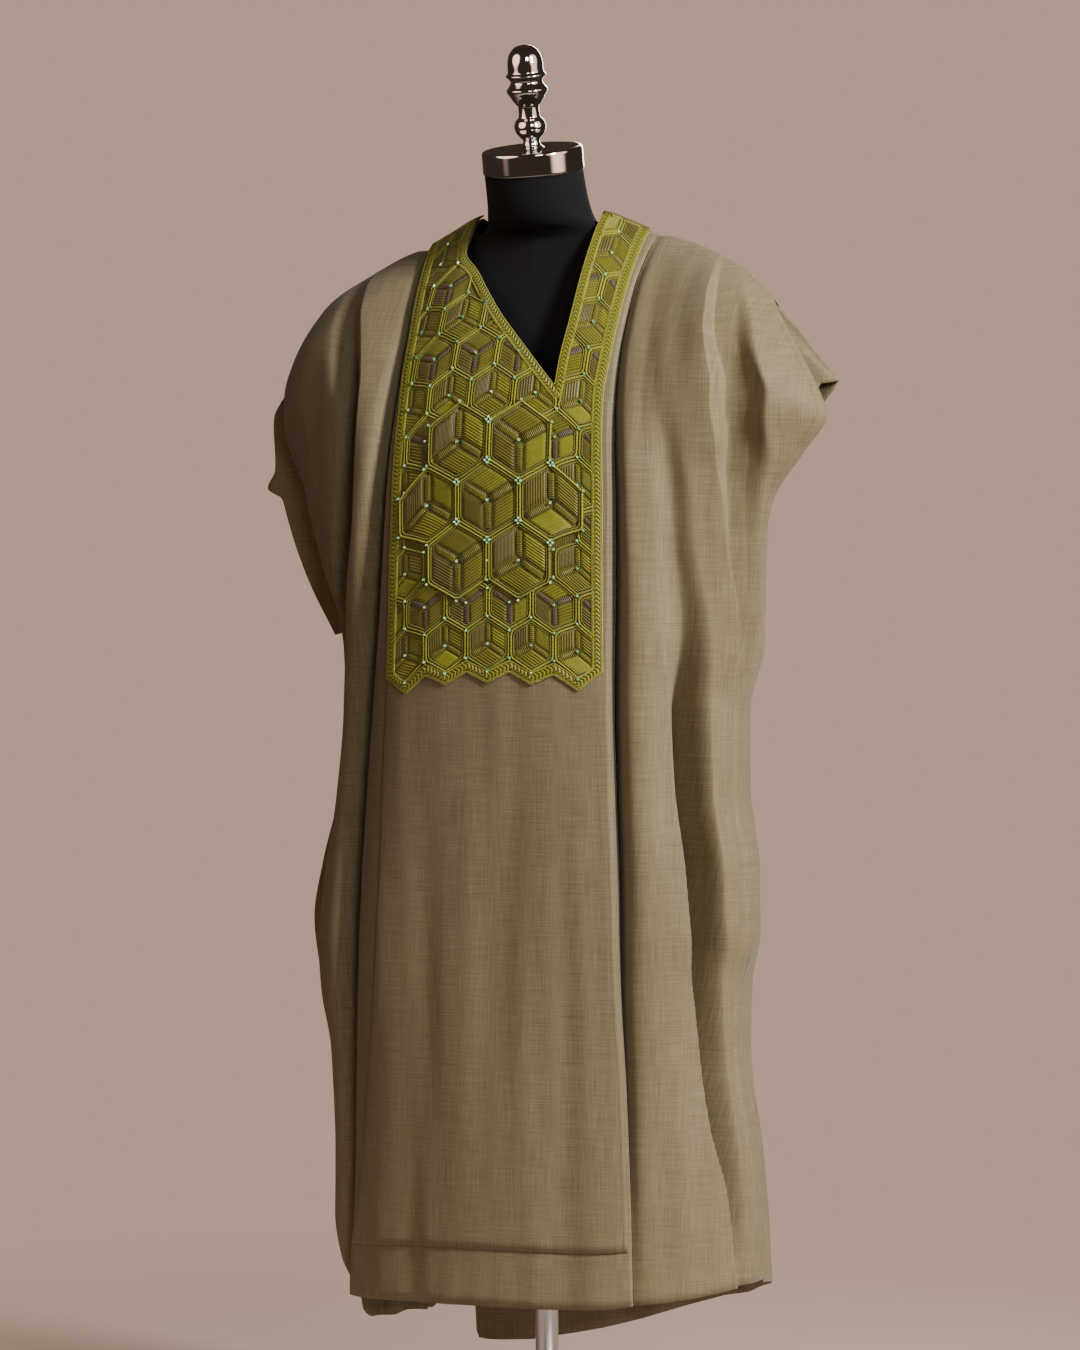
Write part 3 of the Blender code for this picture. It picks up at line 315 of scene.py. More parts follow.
def section_depth(w, drop, x, face):
    """Depth of the section at the centre line, and at the side edge. The shoulder line
    itself is rounded."""
    full = follow(DEPTH, face_name(face), w) * top_round(drop, x, face)
    low = np.minimum(drop, RIDGE_ROUND)
    full = np.maximum(full, np.sqrt(np.maximum(2 * RIDGE_ROUND * low - low ** 2, 0)))
    edge = follow(ARM_OPENING, "half", w) + SIDE_GAP
    return np.maximum(full, edge + 1e-4), edge


def angle_of(x, w, side, face):
    """The section's angle, 0 at the centre line and a quarter turn at the side, at x."""
    power = follow(DEPTH, "power", w)
    share = np.clip(np.abs(x) / half_width(w, side, face), 0, 1)
    return np.arcsin(share ** (power / 2))


def round_the_body(angle, w, drop, side, face):
    """x, y and the outward normal of the section, a superellipse round the form."""
    power = follow(DEPTH, "power", w)
    wide = half_width(w, side, face)
    across = np.sin(angle) ** (2 / power)
    deep, edge = section_depth(w, drop, wide * across, face)
    ahead = np.maximum(np.cos(angle), 1e-9) ** (2 / power)
    normal_x = side * across ** (power - 1) / wide
    normal_y = face * ahead ** (power - 1) / (deep - edge)
    size = np.hypot(normal_x, normal_y)
    turned = top_round(drop, wide * across, face)
    normal = np.stack([normal_x / size * turned, normal_y / size * turned,
                       np.sqrt(1 - turned ** 2)], axis=-1)
    return side * wide * across, face * (edge + (deep - edge) * ahead), normal


def centre_fold_depth(x, w, face):
    """Depth of the centre cloth's folds: each a soft trough between two heights."""
    total = np.zeros_like(w)
    for side, first, last, x_first, x_last, width, depth in CENTRE_FOLDS:
        if side == face:
            t = (w - first) / (last - first)
            line = x_first + (x_last - x_first) * np.clip(t, 0, 1)
            swell = step(0, FOLD_FADE, t) * step(0, FOLD_FADE, 1 - t)
            total += depth * swell * np.exp(-((x - line) / width) ** 2)
    return total


def drape(angle, w, side, face, x_top, x_low, out):
    """Points of the robe's outer surface at a section angle, moved out by `out`."""
    z, drop = heights(w, x_top, x_low, face)
    x, y, normal = round_the_body(angle, w, drop, side, face)
    y = y + face * RIDGE_GAP * (w < 1e-9)
    return np.stack([x, y, z], axis=-1) + normal * np.asarray(out)[..., None]


def pleat_x(w, side):
    return follow(PLEAT, side_name(side), w)


def pleat_depth(w, side, face):
    depth = follow(PLEAT, side_name(side) + "_depth", w)
    return depth * (BACK_PLEAT_SHARE if face == BACK else DEEPER_PLEAT[side])


def centre_points(x, w, face, out):
    """Points of the centre cloth at x, on whichever side of the middle each lies."""
    points = np.empty(x.shape + (3,))
    out = out - centre_fold_depth(x, w, face)
    for side in (LEFT, RIGHT):
        angle = angle_of(x, w, side, face)
        there = drape(angle, w, side, face, x, x, out)
        mine = (x >= 0) if side == LEFT else (x < 0)
        points[mine] = there[mine]
    return points


def returns(w, side, face):
    """x and depth of the columns where the centre cloth turns into its pleat: straight lines
    between the table's rows."""
    flat, deep, share = (column[None, :] for column in PLEAT_RETURN.values())
    depth = pleat_depth(w, side, face)[:, None]
    sharp = np.clip((depth - SHALLOW_PLEAT) / (DEEP_PLEAT - SHALLOW_PLEAT), 0, 1)
    x = pleat_x(w, side)[:, None] - side * (flat + (deep - flat) * sharp)
    last = x.shape[1] - 1
    at = np.linspace(0, last, RETURN_COLUMNS)
    k = np.minimum(at.astype(int), last - 1)
    t = at - k
    return [column[:, k] * (1 - t) + column[:, k + 1] * t for column in (x, -share * depth)]


def neck_edges(w):
    """x of the neck opening's edge on the wearer's right and left, equal below its tip."""
    below = follow(BELOW_NECK, "x", w)
    return (np.where(w < NECK_TIP_W, follow(NECK, "right_edge", w), below),
            np.where(w < NECK_TIP_W, follow(NECK, "left_edge", w), below))


def flat_edge(w, side):
    """x of the centre cloth's outer flat column, where the plastron's edge lies."""
    return pleat_x(w, side) - side * follow(INSET, side_name(side), w)


# How sharp each rail's fold is, from 0, round, to 1, creased, the two edges included
SHARP_RAILS = {
    (LEFT, FRONT): [0, 0, 0.6, 0.2, 0.1, 0.6, 0.2, 0.1, 0.3, 0],
    (RIGHT, FRONT): [0, 0.2, 0.6, 0.2, 0.2, 0.1, 0],
    (LEFT, BACK): [0, 0.1, 0.1, 0.2, 0.1, 0.1, 0],
    (RIGHT, BACK): [0, 0.1, 0.1, 0.2, 0.1, 0.1, 0],
}

# How much deeper than in the CAD's plain walls the great folds and the pleats go, which
# rail the fold is, and how far it shifts to the pleat as it deepens, as a share of the cloth
DEEPER = table("w left right", [
    (0.00, 0.2, 1.0), (0.25, 0.2, 1.3), (0.34, 0.4, 1.5), (0.42, 1.2, 1.7), (0.50, 2.4, 1.9),
    (0.60, 3.3, 2.2), (0.78, 4.3, 2.4), (0.90, 3.6, 2.0), (1.00, 2.4, 1.3)])
DEEPER_PLEAT = {LEFT: 1.15, RIGHT: 1.6}
DEEP_RAIL = 2
TROUGH_SHIFT = 0.012

# The camera: where it stands, its lens, the size of a pixel at the form, and how far the
# view turns so that the form's axis and the horizon fall where they should
CAMERA_AZIMUTH, CAMERA_DISTANCE, CAMERA_HEIGHT, CAMERA_FOCAL = 25, 6.0, 1.21, 135.6
PIXEL_SIZE, AXIS_PIXELS, HORIZON_PIXELS = 0.00118, 7, 225

# The lights: name, azimuth, distance, height, height aimed at, width, tallness, power, colour
LIGHTS = [
    ("key_light", 71, 3.0, 2.4, 0.85, 0.5, 1.1, 178, (1.0, 0.97, 0.93)),
    ("front_light", 38, 3.6, 2.6, 0.9, 1.0, 0.8, 34, (1.0, 0.97, 0.94)),
    ("back_light", -165, 3.2, 2.2, 0.9, 1.0, 1.2, 42, (1.0, 0.96, 0.92))]

# The room: its colour, its strength on things and what the camera sees besides, the azimuth
# and strength of the bright cards that shiny things mirror, the cosines at a card's edge,
# and from where to where the floor fades
ROOM_COLOUR, ROOM_STRENGTH, ROOM_SEEN = (1.0, 0.66, 0.50, 1), 0.05, 0.50
CARDS = [(-38, 3.2), (82, 2.2)]
CARD_EDGE = (0.86, 0.93)
FLOOR_FADE = (0.5, 2.0)

# The tucked end of each sleeve, which shows past the front layer at the shoulder: points
# of its inner and outer edge, down the front (face -1) and the back (face 1). A height of
# zero stands for the shoulder line.
TUCK_NAMES = "face inner_x inner_z outer_x outer_z"
TUCK_DROP = {LEFT: 0.0050, RIGHT: 0.0060}
TUCKS = {
    LEFT: table(TUCK_NAMES, [
        (-1, 0.255, 1.300, 0.335, 1.262), (-1, 0.255, 1.345, 0.350, 1.286),
        (-1, 0.255, 1.385, 0.3655, 1.2885), (0, 0.255, 0, 0.3690, 0),
        (1, 0.255, 1.385, 0.3645, 1.2860), (1, 0.255, 1.340, 0.352, 1.270),
        (1, 0.255, 1.290, 0.330, 1.250)]),
    RIGHT: table(TUCK_NAMES, [
        (-1, 0.262, 0.992, 0.278, 0.988), (-1, 0.255, 1.078, 0.318, 1.076),
        (-1, 0.255, 1.150, 0.344, 1.152), (-1, 0.255, 1.168, 0.365, 1.164),
        (-1, 0.257, 1.195, 0.355, 1.186), (-1, 0.260, 1.290, 0.361, 1.250),
        (-1, 0.262, 1.372, 0.352, 1.268), (0, 0.265, 0, 0.3450, 0),
        (1, 0.262, 1.372, 0.346, 1.270), (1, 0.260, 1.300, 0.335, 1.220)]),
}

# The dress form's sections: height, half width, depth in front and behind, centre y, tilt,
# and squareness, which is low where the section runs through both shoulders
FORM = table("z wide front back y tilt power", [
    (0.780, 0.140, 0.090, 0.090, 0.000, 0, 2.2), (0.790, 0.157, 0.104, 0.104, 0.000, 0, 2.2),
    (0.860, 0.163, 0.109, 0.109, 0.000, 0, 2.2), (0.940, 0.151, 0.104, 0.100, 0.000, 0, 2.2),
    (1.030, 0.143, 0.100, 0.092, 0.000, 0, 2.2), (1.140, 0.158, 0.108, 0.098, 0.000, 0, 2.2),
    (1.240, 0.176, 0.108, 0.101, 0.000, 0, 2.1), (1.310, 0.188, 0.094, 0.091, 0.000, 0, 1.9),
    (1.365, 0.194, 0.074, 0.078, 0.000, 0, 1.7), (1.396, 0.194, 0.060, 0.068, 0.000, 0, 1.5),
    (1.418, 0.187, 0.048, 0.058, 0.000, 0, 1.35), (1.431, 0.177, 0.042, 0.052, 0.000, 0, 1.35),
    (1.4462, 0.1535, 0.036, 0.046, 0.000, 0, 1.35), (1.458, 0.118, 0.032, 0.042, 0.000, 1, 1.4),
    (1.468, 0.078, 0.034, 0.042, -0.005, 4, 1.6), (1.482, 0.064, 0.054, 0.054, -0.017, 7, 2.0),
    (1.505, 0.0590, 0.0580, 0.0580, -0.0265, 10, 2.0),
    (1.5352, 0.0575, 0.0575, 0.0575, -0.0365, 11, 2.0)])

# Turned profiles as radius and height, from the lowest point up
FINIAL = [
    (0.0147, 0.0), (0.0105, 0.0042), (0.0095, 0.0089), (0.0128, 0.0132),
    (0.0172, 0.0193), (0.0186, 0.0254), (0.0170, 0.0315), (0.0126, 0.0371), (0.0120, 0.0479),
    (0.0160, 0.0536), (0.0207, 0.0611), (0.0241, 0.0681), (0.0212, 0.0724), (0.0186, 0.0780),
    (0.0204, 0.0813), (0.0237, 0.0851), (0.0210, 0.0893), (0.0207, 0.0987), (0.0192, 0.1072),
    (0.0152, 0.1142), (0.0086, 0.1192), (0.0006, 0.1208)]
BASE = [
    (BASE_RADIUS - 0.003, 0.0), (BASE_RADIUS - 0.0009, 0.0009), (BASE_RADIUS, 0.003),
    (BASE_RADIUS, 0.008), (BASE_RADIUS - 0.0012, 0.0098), (BASE_RADIUS - 0.004, 0.011),
    (BASE_RADIUS - 0.012, BASE_HEIGHT), (0.045, 0.020), (0.030, 0.0245), (0.0245, 0.028),
    (0.0222, 0.0300), (0.022, 0.038), (0.0212, 0.0395), (0.019, BASE_TOP)]
CAP = [
    (0.0576, 0.0), (0.0588, 0.0006), (0.0592, 0.0018), (0.0592, 0.0235), (0.0589, 0.0252),
    (0.0580, 0.0264), (0.0566, 0.0270), (0.040, 0.0272), (0.016, 0.0273)]
CAP_MIDDLE = (0.008, 0.0273)

# Finer than the CAD: rows and columns of a sleeve, small folds, and turned hems
SLEEVE_ROWS, SLEEVE_COLUMNS = 230, 160
RIPPLE_SIZE = 0.0011
HEM_WIDTH, HEM_RISE, HEM_GROOVE = 0.026, 0.0006, 0.0005

# Stitches: their spacing, length and radius, how deep they lie in a hem's groove, how far
# off the cloth their upward direction is taken, and how far inside the panel's edge they run
STITCH_PITCH, STITCH_LENGTH, STITCH_RADIUS = 0.0032, 0.0021, 0.00033
STITCH_SINK, STITCH_AHEAD, STITCH_INSET = 0.0005, 0.0012, 0.0045

# The embroidery: small and large hexagons by width across flats, the height of the large
# ones' ground and the rosette's middle, braids, cords, satin patches and stones
SMALL_HEXAGON, LARGE_HEXAGON = 0.0553, 0.0790
LARGE_BASE, ROSETTE_DOWN = 0.0016, 0.372
BRAID_WIDTH, BRAID_PITCH, BRAID_STEP = 0.0095, 0.0050, 0.0009
CORD_RADIUS, CORD_STEP, CORD_LAY = 0.00115, 0.0055, 0.0016
PATCH_HEIGHT, PATCH_SINK = 0.0007, 0.0003
STONE_RADIUS, SMALL_STONE, LARGE_STONE, STONE_SPREAD = 0.0020, 0.0019, 0.0022, 0.0029
PLASTRON_OUT = 3 * LAY_GAP + PANEL_CLOTH + PLASTRON_CLOTH


def cloth_rows(count, first=0.0, last=1.0):
    """Shares of the drop, closest at the shoulder: a blend of t cubed and t."""
    t = np.linspace(0, 1, count)
    return first + (last - first) * (0.22 * t ** 3 + 0.5 * t ** 2 + 0.28 * t)


def ripple(across, down, seed):
    """Small folds of hanging cloth: a sum of long slanted sine waves, near 1 at most."""
    numbers = np.random.default_rng(seed)
    total, most = 0.0, 0.0
    for k in range(9):
        size = 1 / (1 + 0.25 * k)
        phase = 2 * math.pi * (numbers.uniform(5, 30) * across
                               + numbers.uniform(-1.8, 1.8) * down + numbers.uniform())
        bend = 0.8 * np.sin(2 * math.pi * (numbers.uniform(0.8, 1.8) * down + numbers.uniform()))
        total = total + size * np.sin(phase + bend)
        most += size
    return total / most ** 0.7


def step(low, high, value):
    """A smooth step from 0 at `low` to 1 at `high`: 3 t squared less 2 t cubed."""
    t = np.clip((value - low) / (high - low), 0, 1)
    return t * t * (3 - 2 * t)


def hem_relief(from_hem):
    """How far a turned hem stands out: a low step, with a groove along its stitches."""
    groove = np.exp(-((from_hem - HEM_WIDTH) / 0.0016) ** 2)
    rise = step(HEM_WIDTH + 0.001, HEM_WIDTH - 0.001, from_hem)
    return HEM_RISE * rise - HEM_GROOVE * groove


def rows_between(points, values, at, sharp):
    """Values along one row of cloth between its rails: cubics whose slope at a rail is the
    harmonic mean of its neighbours', and nearer to each side's own slope where it is sharp."""
    steps = np.diff(points)
    slopes = np.diff(values) / steps
    smooth = np.concatenate([[0.0], mean_slopes(slopes), [0.0]])
    k = np.clip(np.searchsorted(points, at, side="right") - 1, 0, len(steps) - 1)
    start = smooth[k] + sharp[k] * (slopes[k] - smooth[k])
    end = smooth[k + 1] + sharp[k + 1] * (slopes[k] - smooth[k + 1])
    return cubic((at - points[k]) / steps[k], values[k], values[k + 1], start, end, steps[k])


def row_angles(w, side, face, share):
    """Section angles at shares of the cloth from the pleat line to the edge, row by row, and
    the lengths of cloth to them: the arc of each section is summed and read backwards."""
    turn = np.linspace(0, math.pi / 2, 241)
    ws = w[:, None].repeat(len(turn), axis=1)
    x, y, _ = round_the_body(turn, ws, ws * TYPICAL_DROP, side, face)
    steps = np.hypot(np.diff(x, axis=1), np.diff(y, axis=1))
    arc = np.cumsum(np.pad(steps, ((0, 0), (1, 0))), axis=1)
    line = angle_of(pleat_x(w, side), w, side, face)
    start = np.array([np.interp(a, turn, s) for a, s in zip(line, arc)])
    length = (arc[:, -1] - start)[:, None] * share
    angle = np.array([np.interp(s + d, a, turn) for s, d, a in zip(start, length, arc)])
    angle[:, -1] = math.pi / 2
    return angle, length


def sleeve_points(side, face, w, out=0.0):
    """A sleeve's outer surface: columns of equal share of the cloth from pleat line to edge,
    closer at the pleat, moved in by the depth between the rails and out by small folds."""
    t = np.linspace(0, 1, SLEEVE_COLUMNS)
    share = 0.30 * t ** 2 + 0.70 * t
    angle, length = row_angles(w, side, face, share)
    ws = w[:, None].repeat(SLEEVE_COLUMNS, axis=1)
    line = np.abs(pleat_x(ws, side))
    x_top, x_low = (side * (line + share * (half_width(end, side) - line)) for end in (0.0, 1.0))
    rails = RAILS[side, face]
    points = np.stack([0 * w] + [follow(r, "share", w) for r in rails] + [0 * w + 1], axis=1)
    depths = np.stack([0 * w] + [follow(r, "depth", w) / 1000 for r in rails] + [0 * w], axis=1)
    if face == FRONT:
        deeper = follow(DEEPER, side_name(side), w)
        depths[:, DEEP_RAIL + 1] *= deeper
        points[:, DEEP_RAIL + 1] -= TROUGH_SHIFT * (deeper - 1)
    sharp = np.array(SHARP_RAILS[side, face])
    between = np.array([rows_between(p, d, share, sharp) for p, d in zip(points, depths)])
    mouth = follow(PLEAT, side_name(side) + "_mouth", ws)
    pleat = (pleat_depth(ws, side, face) + SEAM_GAP) * np.exp(-(length / mouth) ** 1.5)
    lift = follow(SLEEVE_LIFT, "lift", ws) * (1 - np.exp(-(length / LIFT_START) ** 2))
    lift = lift * np.clip((1 - share) / LIFT_END_SHARE, 0, 1)
    z, drop = heights(ws, x_top, x_low, face)
    calm = step(0, 0.10, share) * step(1.0, 0.93, share) * step(0, 0.12, drop)
    seed = 11 + 2 * (side == LEFT) + (face == FRONT)
    small = RIPPLE_SIZE * ripple(length, z, seed) * calm
    hem = hem_relief((1 - ws) * drop / np.maximum(ws, 0.5))
    grid = drape(angle, ws, side, face, x_top, x_low, lift - pleat - between + small + hem + out)
    return grid, (side * (line[:, :1] + length), z)


def centre_relief(x, w, face):
    """Small folds of the centre cloth, the same for each layer on it, still at the edges."""
    z = SHOULDER_HEIGHT - w * CENTRE_DROP
    calm = step(0.10, 0.30, w) if face == FRONT else step(0.03, 0.2, w)
    return 0.7 * RIPPLE_SIZE * ripple(x, z, 5 + face) * calm


def centre_surface(x, w, face, out):
    return centre_points(x, w, face, out + centre_relief(x, w, face))


def even(first, last, count):
    """Columns evenly spaced between two x values of each row, ends included, as one array."""
    return first[:, None] + (last - first)[:, None] * np.linspace(0, 1, count)[None, :]


def circle(count):
    """Angles of points evenly round a circle."""
    return np.linspace(0, 2 * math.pi, count, endpoint=False)


def unit(vectors):
    """Vectors brought to a length of 1, and left near 0 where they are nearly nothing."""
    return vectors / np.maximum(np.linalg.norm(vectors, axis=-1, keepdims=True), 1e-6)


def lengths_along(path):
    """The length of a path from its start to each of its points."""
    return np.concatenate([[0], np.cumsum(np.linalg.norm(np.diff(path, axis=0), axis=1))])


def resample(path, pitch):
    """Points at even spacing along a path."""
    along = lengths_along(path)
    at = np.linspace(0, along[-1], max(int(along[-1] / pitch), 2) + 1)
    return np.stack([np.interp(at, along, path[:, k]) for k in range(path.shape[1])], axis=1)


def directions(path, closed=False):
    """The way at each point of a path, from the point before it to the one after."""
    ahead = np.roll(path, -1, axis=0) - np.roll(path, 1, axis=0)
    if not closed:
        ahead[0], ahead[-1] = path[1] - path[0], path[-1] - path[-2]
    return unit(ahead)


def quads(index, flip=False):
    """Four-cornered faces of a grid of point numbers."""
    a, b, c, d = index[:-1, :-1], index[:-1, 1:], index[1:, 1:], index[1:, :-1]
    faces = np.stack([a, b, c, d], axis=-1).reshape(-1, 4)
    return faces[:, ::-1] if flip else faces


def cells(rows, columns, flip=False, closed=False):
    """Faces of a grid of points, its last column joined to its first if it is closed."""
    index = np.arange(rows * columns).reshape(rows, columns)
    return quads(np.concatenate([index, index[:, :1]], axis=1) if closed else index, flip)


def add_piece(name, points, faces, finish, uv=None, numbers=None):
    """A mesh object riding on the frame, with a UV map and named numbers on its points."""
    mesh = bpy.data.meshes.new(name)
    mesh.vertices.add(len(points))
    mesh.vertices.foreach_set("co", points.ravel())
    sizes = np.full(len(faces), faces.shape[1])
    mesh.loops.add(int(sizes.sum()))
    mesh.loops.foreach_set("vertex_index", faces.ravel().astype(np.int32))
    mesh.polygons.add(len(faces))
    mesh.polygons.foreach_set("loop_start", (np.cumsum(sizes) - sizes).astype(np.int32))
    mesh.update(calc_edges=True)
    mesh.validate()
    if uv is not None:
        layer = mesh.uv_layers.new(name="cloth")
        corners = np.zeros(len(mesh.loops), np.int32)
        mesh.loops.foreach_get("vertex_index", corners)
        layer.data.foreach_set("uv", uv[corners].ravel())
    for key, values in (numbers or {}).items():
        mesh.attributes.new(key, "FLOAT", "POINT").data.foreach_set("value", values)
    mesh.shade_smooth()
    mesh.materials.append(finish.material)
    piece = bpy.data.objects.new(name, mesh)
    bpy.context.scene.collection.objects.link(piece)
    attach(piece, "root")
    return piece


def add_cloth(name, node, grid, uv, finish, flip, thickness=CLOTH, slit=None):
    """A sheet of cloth over a grid of points, thickened inwards. A slit, given as the number
    of columns on its right and the row at its tip, parts the grid above that row."""
    index = np.arange(grid[..., 0].size).reshape(grid.shape[:2])
    parts = [index]
    if slit:
        right, tip = slit
        index[tip:, right] = index[tip:, right - 1]
        parts = [index[:, :right], index[:, right:]]
    faces = np.concatenate([quads(part, flip) for part in parts])
    used, compact = np.unique(faces, return_inverse=True)
    uv = np.stack(uv, axis=-1).reshape(-1, 2)
    piece = add_piece(name, grid.reshape(-1, 3)[used], compact.reshape(faces.shape), finish,
                      uv[used])
    wall = piece.modifiers.new("thickness", "SOLIDIFY")
    wall.thickness = thickness
    wall.offset = -1
    wall.use_rim = True
    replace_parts(piece, node)


class Pile:
    """Many small shapes gathered into one mesh."""

    def __init__(self):
        self.points, self.faces, self.uv, self.shades, self.count = [], [], [], [], 0

    def add(self, points, faces, uv=None, shade=0.0):
        points = points.reshape(-1, 3)
        self.points.append(points)
        self.faces.append(faces + self.count)
        self.uv.append(np.zeros((len(points), 2)) if uv is None else uv.reshape(-1, 2))
        self.shades.append(np.full(len(points), float(shade)))
        self.count += len(points)

    def piece(self, name, finish, lay=np.asarray):
        """All the shapes as one piece, each laid where it belongs by the function `lay`."""
        points, *rest = (np.concatenate(part) for part in (
            [lay(points) for points in self.points], self.faces, self.uv, self.shades))
        return add_piece(name, points, rest[0], finish, rest[1], {"shade": rest[2]})


def tube(path, radius, sides):
    """A round cord along points: at each, a circle square to the path. Returns points, faces
    and UV in metres."""
    ahead = directions(path)
    across = unit(np.cross(ahead, (0.0, 0.0, 1.0)))
    up = np.cross(across, ahead)
    turn = circle(sides)
    ring = (np.cos(turn)[None, :, None] * across[:, None, :]
            + np.sin(turn)[None, :, None] * up[:, None, :])
    uv = np.stack(np.broadcast_arrays(turn * radius, lengths_along(path)[:, None]), axis=-1)
    return path[:, None, :] + ring * radius, cells(len(path), sides, closed=True), uv


def stitches(pile, path, outward):
    """A run of stitches along a path on cloth: each a short rounded lozenge of 6 sides that
    dips into the cloth at both ends."""
    both = resample(np.concatenate([path, outward], axis=1), STITCH_PITCH)
    middle, normal = both[:, :3], unit(both[:, 3:])
    along = unit(np.gradient(middle, axis=0))
    across = np.cross(along, normal)
    at = np.linspace(-1, 1, 5)
    swell = np.sqrt(np.maximum(1 - at ** 4, 0.02))
    turn = circle(6)
    centre = (middle[:, None, :] + along[:, None, :] * at[None, :, None] * STITCH_LENGTH / 2
              + normal[:, None, :] * (STITCH_RADIUS * (0.9 - 1.3 * at ** 2))[None, :, None])
    ring = (np.cos(turn)[:, None] * across[:, None, None, :]
            + np.sin(turn)[:, None] * normal[:, None, None, :])
    points = centre[:, :, None, :] + ring * (STITCH_RADIUS * swell)[None, :, None, None]
    faces = cells(5, 6, closed=True)[None] + (np.arange(len(middle)) * 30)[:, None, None]
    pile.add(points, faces.reshape(-1, 4))


def rounded(profile, count):
    """A smooth profile through given ones: cubics over the length along it."""
    profile = np.array(profile)
    along = lengths_along(profile)
    at = np.linspace(0, along[-1], count)
    curve = {"along": along, "radius": profile[:, 0], "height": profile[:, 1]}
    return np.stack([follow(curve, "radius", at), follow(curve, "height", at)], axis=1)


def rings(radius, z, count):
    """Rows of points round the Z axis, one circle for each radius and height."""
    turn = circle(count)
    return np.stack(np.broadcast_arrays(radius[:, None] * np.cos(turn),
                                        radius[:, None] * np.sin(turn), z[:, None]), axis=-1)


def closed_rings(rows):
    """Stacked closed rings of points, both ends closed by a fan of four-cornered faces round
    a middle point. Returns the points with the two middles added, and faces."""
    count, around = rows.shape[:2]
    ends = np.stack([rows[0].mean(axis=0), rows[-1].mean(axis=0)])
    low = np.arange(0, around, 2)
    fan = np.stack([low, low + 1, (low + 2) % around], axis=1)
    first = np.column_stack([fan, np.full(len(low), count * around)])
    last = np.column_stack([fan[:, ::-1] + (count - 1) * around,
                            np.full(len(low), count * around + 1)])
    points = np.concatenate([rows.reshape(-1, 3), ends])
    return points, np.concatenate([cells(count, around, closed=True), last, first])


# The robe


def with_returns(w, face, *columns):
    """The centre cloth's columns with its returns on both sides: x and depth of each point."""
    (x_right, deep_right), (x_left, deep_left) = (returns(w, side, face) for side in (RIGHT, LEFT))
    x = np.concatenate([x_right, *columns, x_left[:, ::-1]], axis=1)
    deep = np.zeros_like(x)
    deep[:, :RETURN_COLUMNS], deep[:, -RETURN_COLUMNS:] = deep_right, deep_left[:, ::-1]
    return x, deep


def make_centre(name, node, face, x, ws, deep, drop, cloth, **slit):
    """A centre cloth from shoulder to hem: flat columns, returns and a turned hem."""
    hem = hem_relief((1 - ws) * drop) * (deep > -0.002)
    grid = centre_surface(x, ws, face, deep + hem)
    add_cloth(name, node, grid, (x, grid[..., 2]), cloth, face == FRONT, **slit)


def make_front(cloth):
    above, right, left = 70, 62, 22
    w = np.concatenate([cloth_rows(above, 0, NECK_TIP_W), cloth_rows(170, NECK_TIP_W, 1.0)[1:]])
    right_edge, left_edge = neck_edges(w)
    x, deep = with_returns(w, FRONT, even(flat_edge(w, RIGHT), right_edge, right),
                           even(left_edge, flat_edge(w, LEFT), left))
    ws = w[:, None].repeat(x.shape[1], axis=1)
    make_centre("front_cloth", "robe_front", FRONT, x, ws, deep, FRONT_DROP, cloth,
                slit=(right + RETURN_COLUMNS, above - 1))


def make_back(cloth):
    """The centre cloth behind, its top rows dipped in half an ellipse for the neck."""
    w = cloth_rows(220)
    x, deep = with_returns(w, BACK, even(flat_edge(w, RIGHT), flat_edge(w, LEFT), 120))
    first, last = NECK["right_edge"][0], NECK["left_edge"][0]
    off_centre = (x[0] - (first + last) / 2) / ((last - first) / 2)
    dip = BACK_NECK_DROP * np.sqrt(np.clip(1 - off_centre ** 2, 0, 1))
    ws = dip[None, :] + w[:, None] * (1 - dip[None, :])
    make_centre("back_cloth", "robe_back", BACK, x, ws, deep, BACK_DROP, cloth)


def make_panel(cloth):
    """The sewn-on panel, its edges pressed down to the cloth below."""
    w = cloth_rows(190, NECK_TIP_W, PANEL_END_W)
    first = flat_edge(w, RIGHT) - follow(INSET, "step", w)
    x = even(first, pleat_x(w, LEFT) - PANEL_EDGE_INSET, 96)
    ws = w[:, None].repeat(x.shape[1], axis=1)
    side = np.minimum(x - x[:, :1], x[:, -1:] - x)
    edge = np.minimum(side, (PANEL_END_W - ws) * FRONT_DROP)
    puff = 0.0009 * step(0.0, 0.010, edge) * step(NECK_TIP_W, 0.45, ws)
    groove = -0.0003 * np.exp(-((edge - STITCH_INSET) / 0.0010) ** 2)
    grid = centre_surface(x, ws, FRONT, LAY_GAP + PANEL_CLOTH + puff + groove)
    add_cloth("panel_cloth", "centre_panel", grid, (x, grid[..., 2]), cloth, True, PANEL_CLOTH)


def make_sleeve(side, face, cloth):
    grid, uv = sleeve_points(side, face, cloth_rows(SLEEVE_ROWS))
    name = f"sleeve_{side_name(side)}_{face_name(face)}"
    add_cloth(name + "_cloth", name, grid, uv, cloth, (side == LEFT) == (face == FRONT))


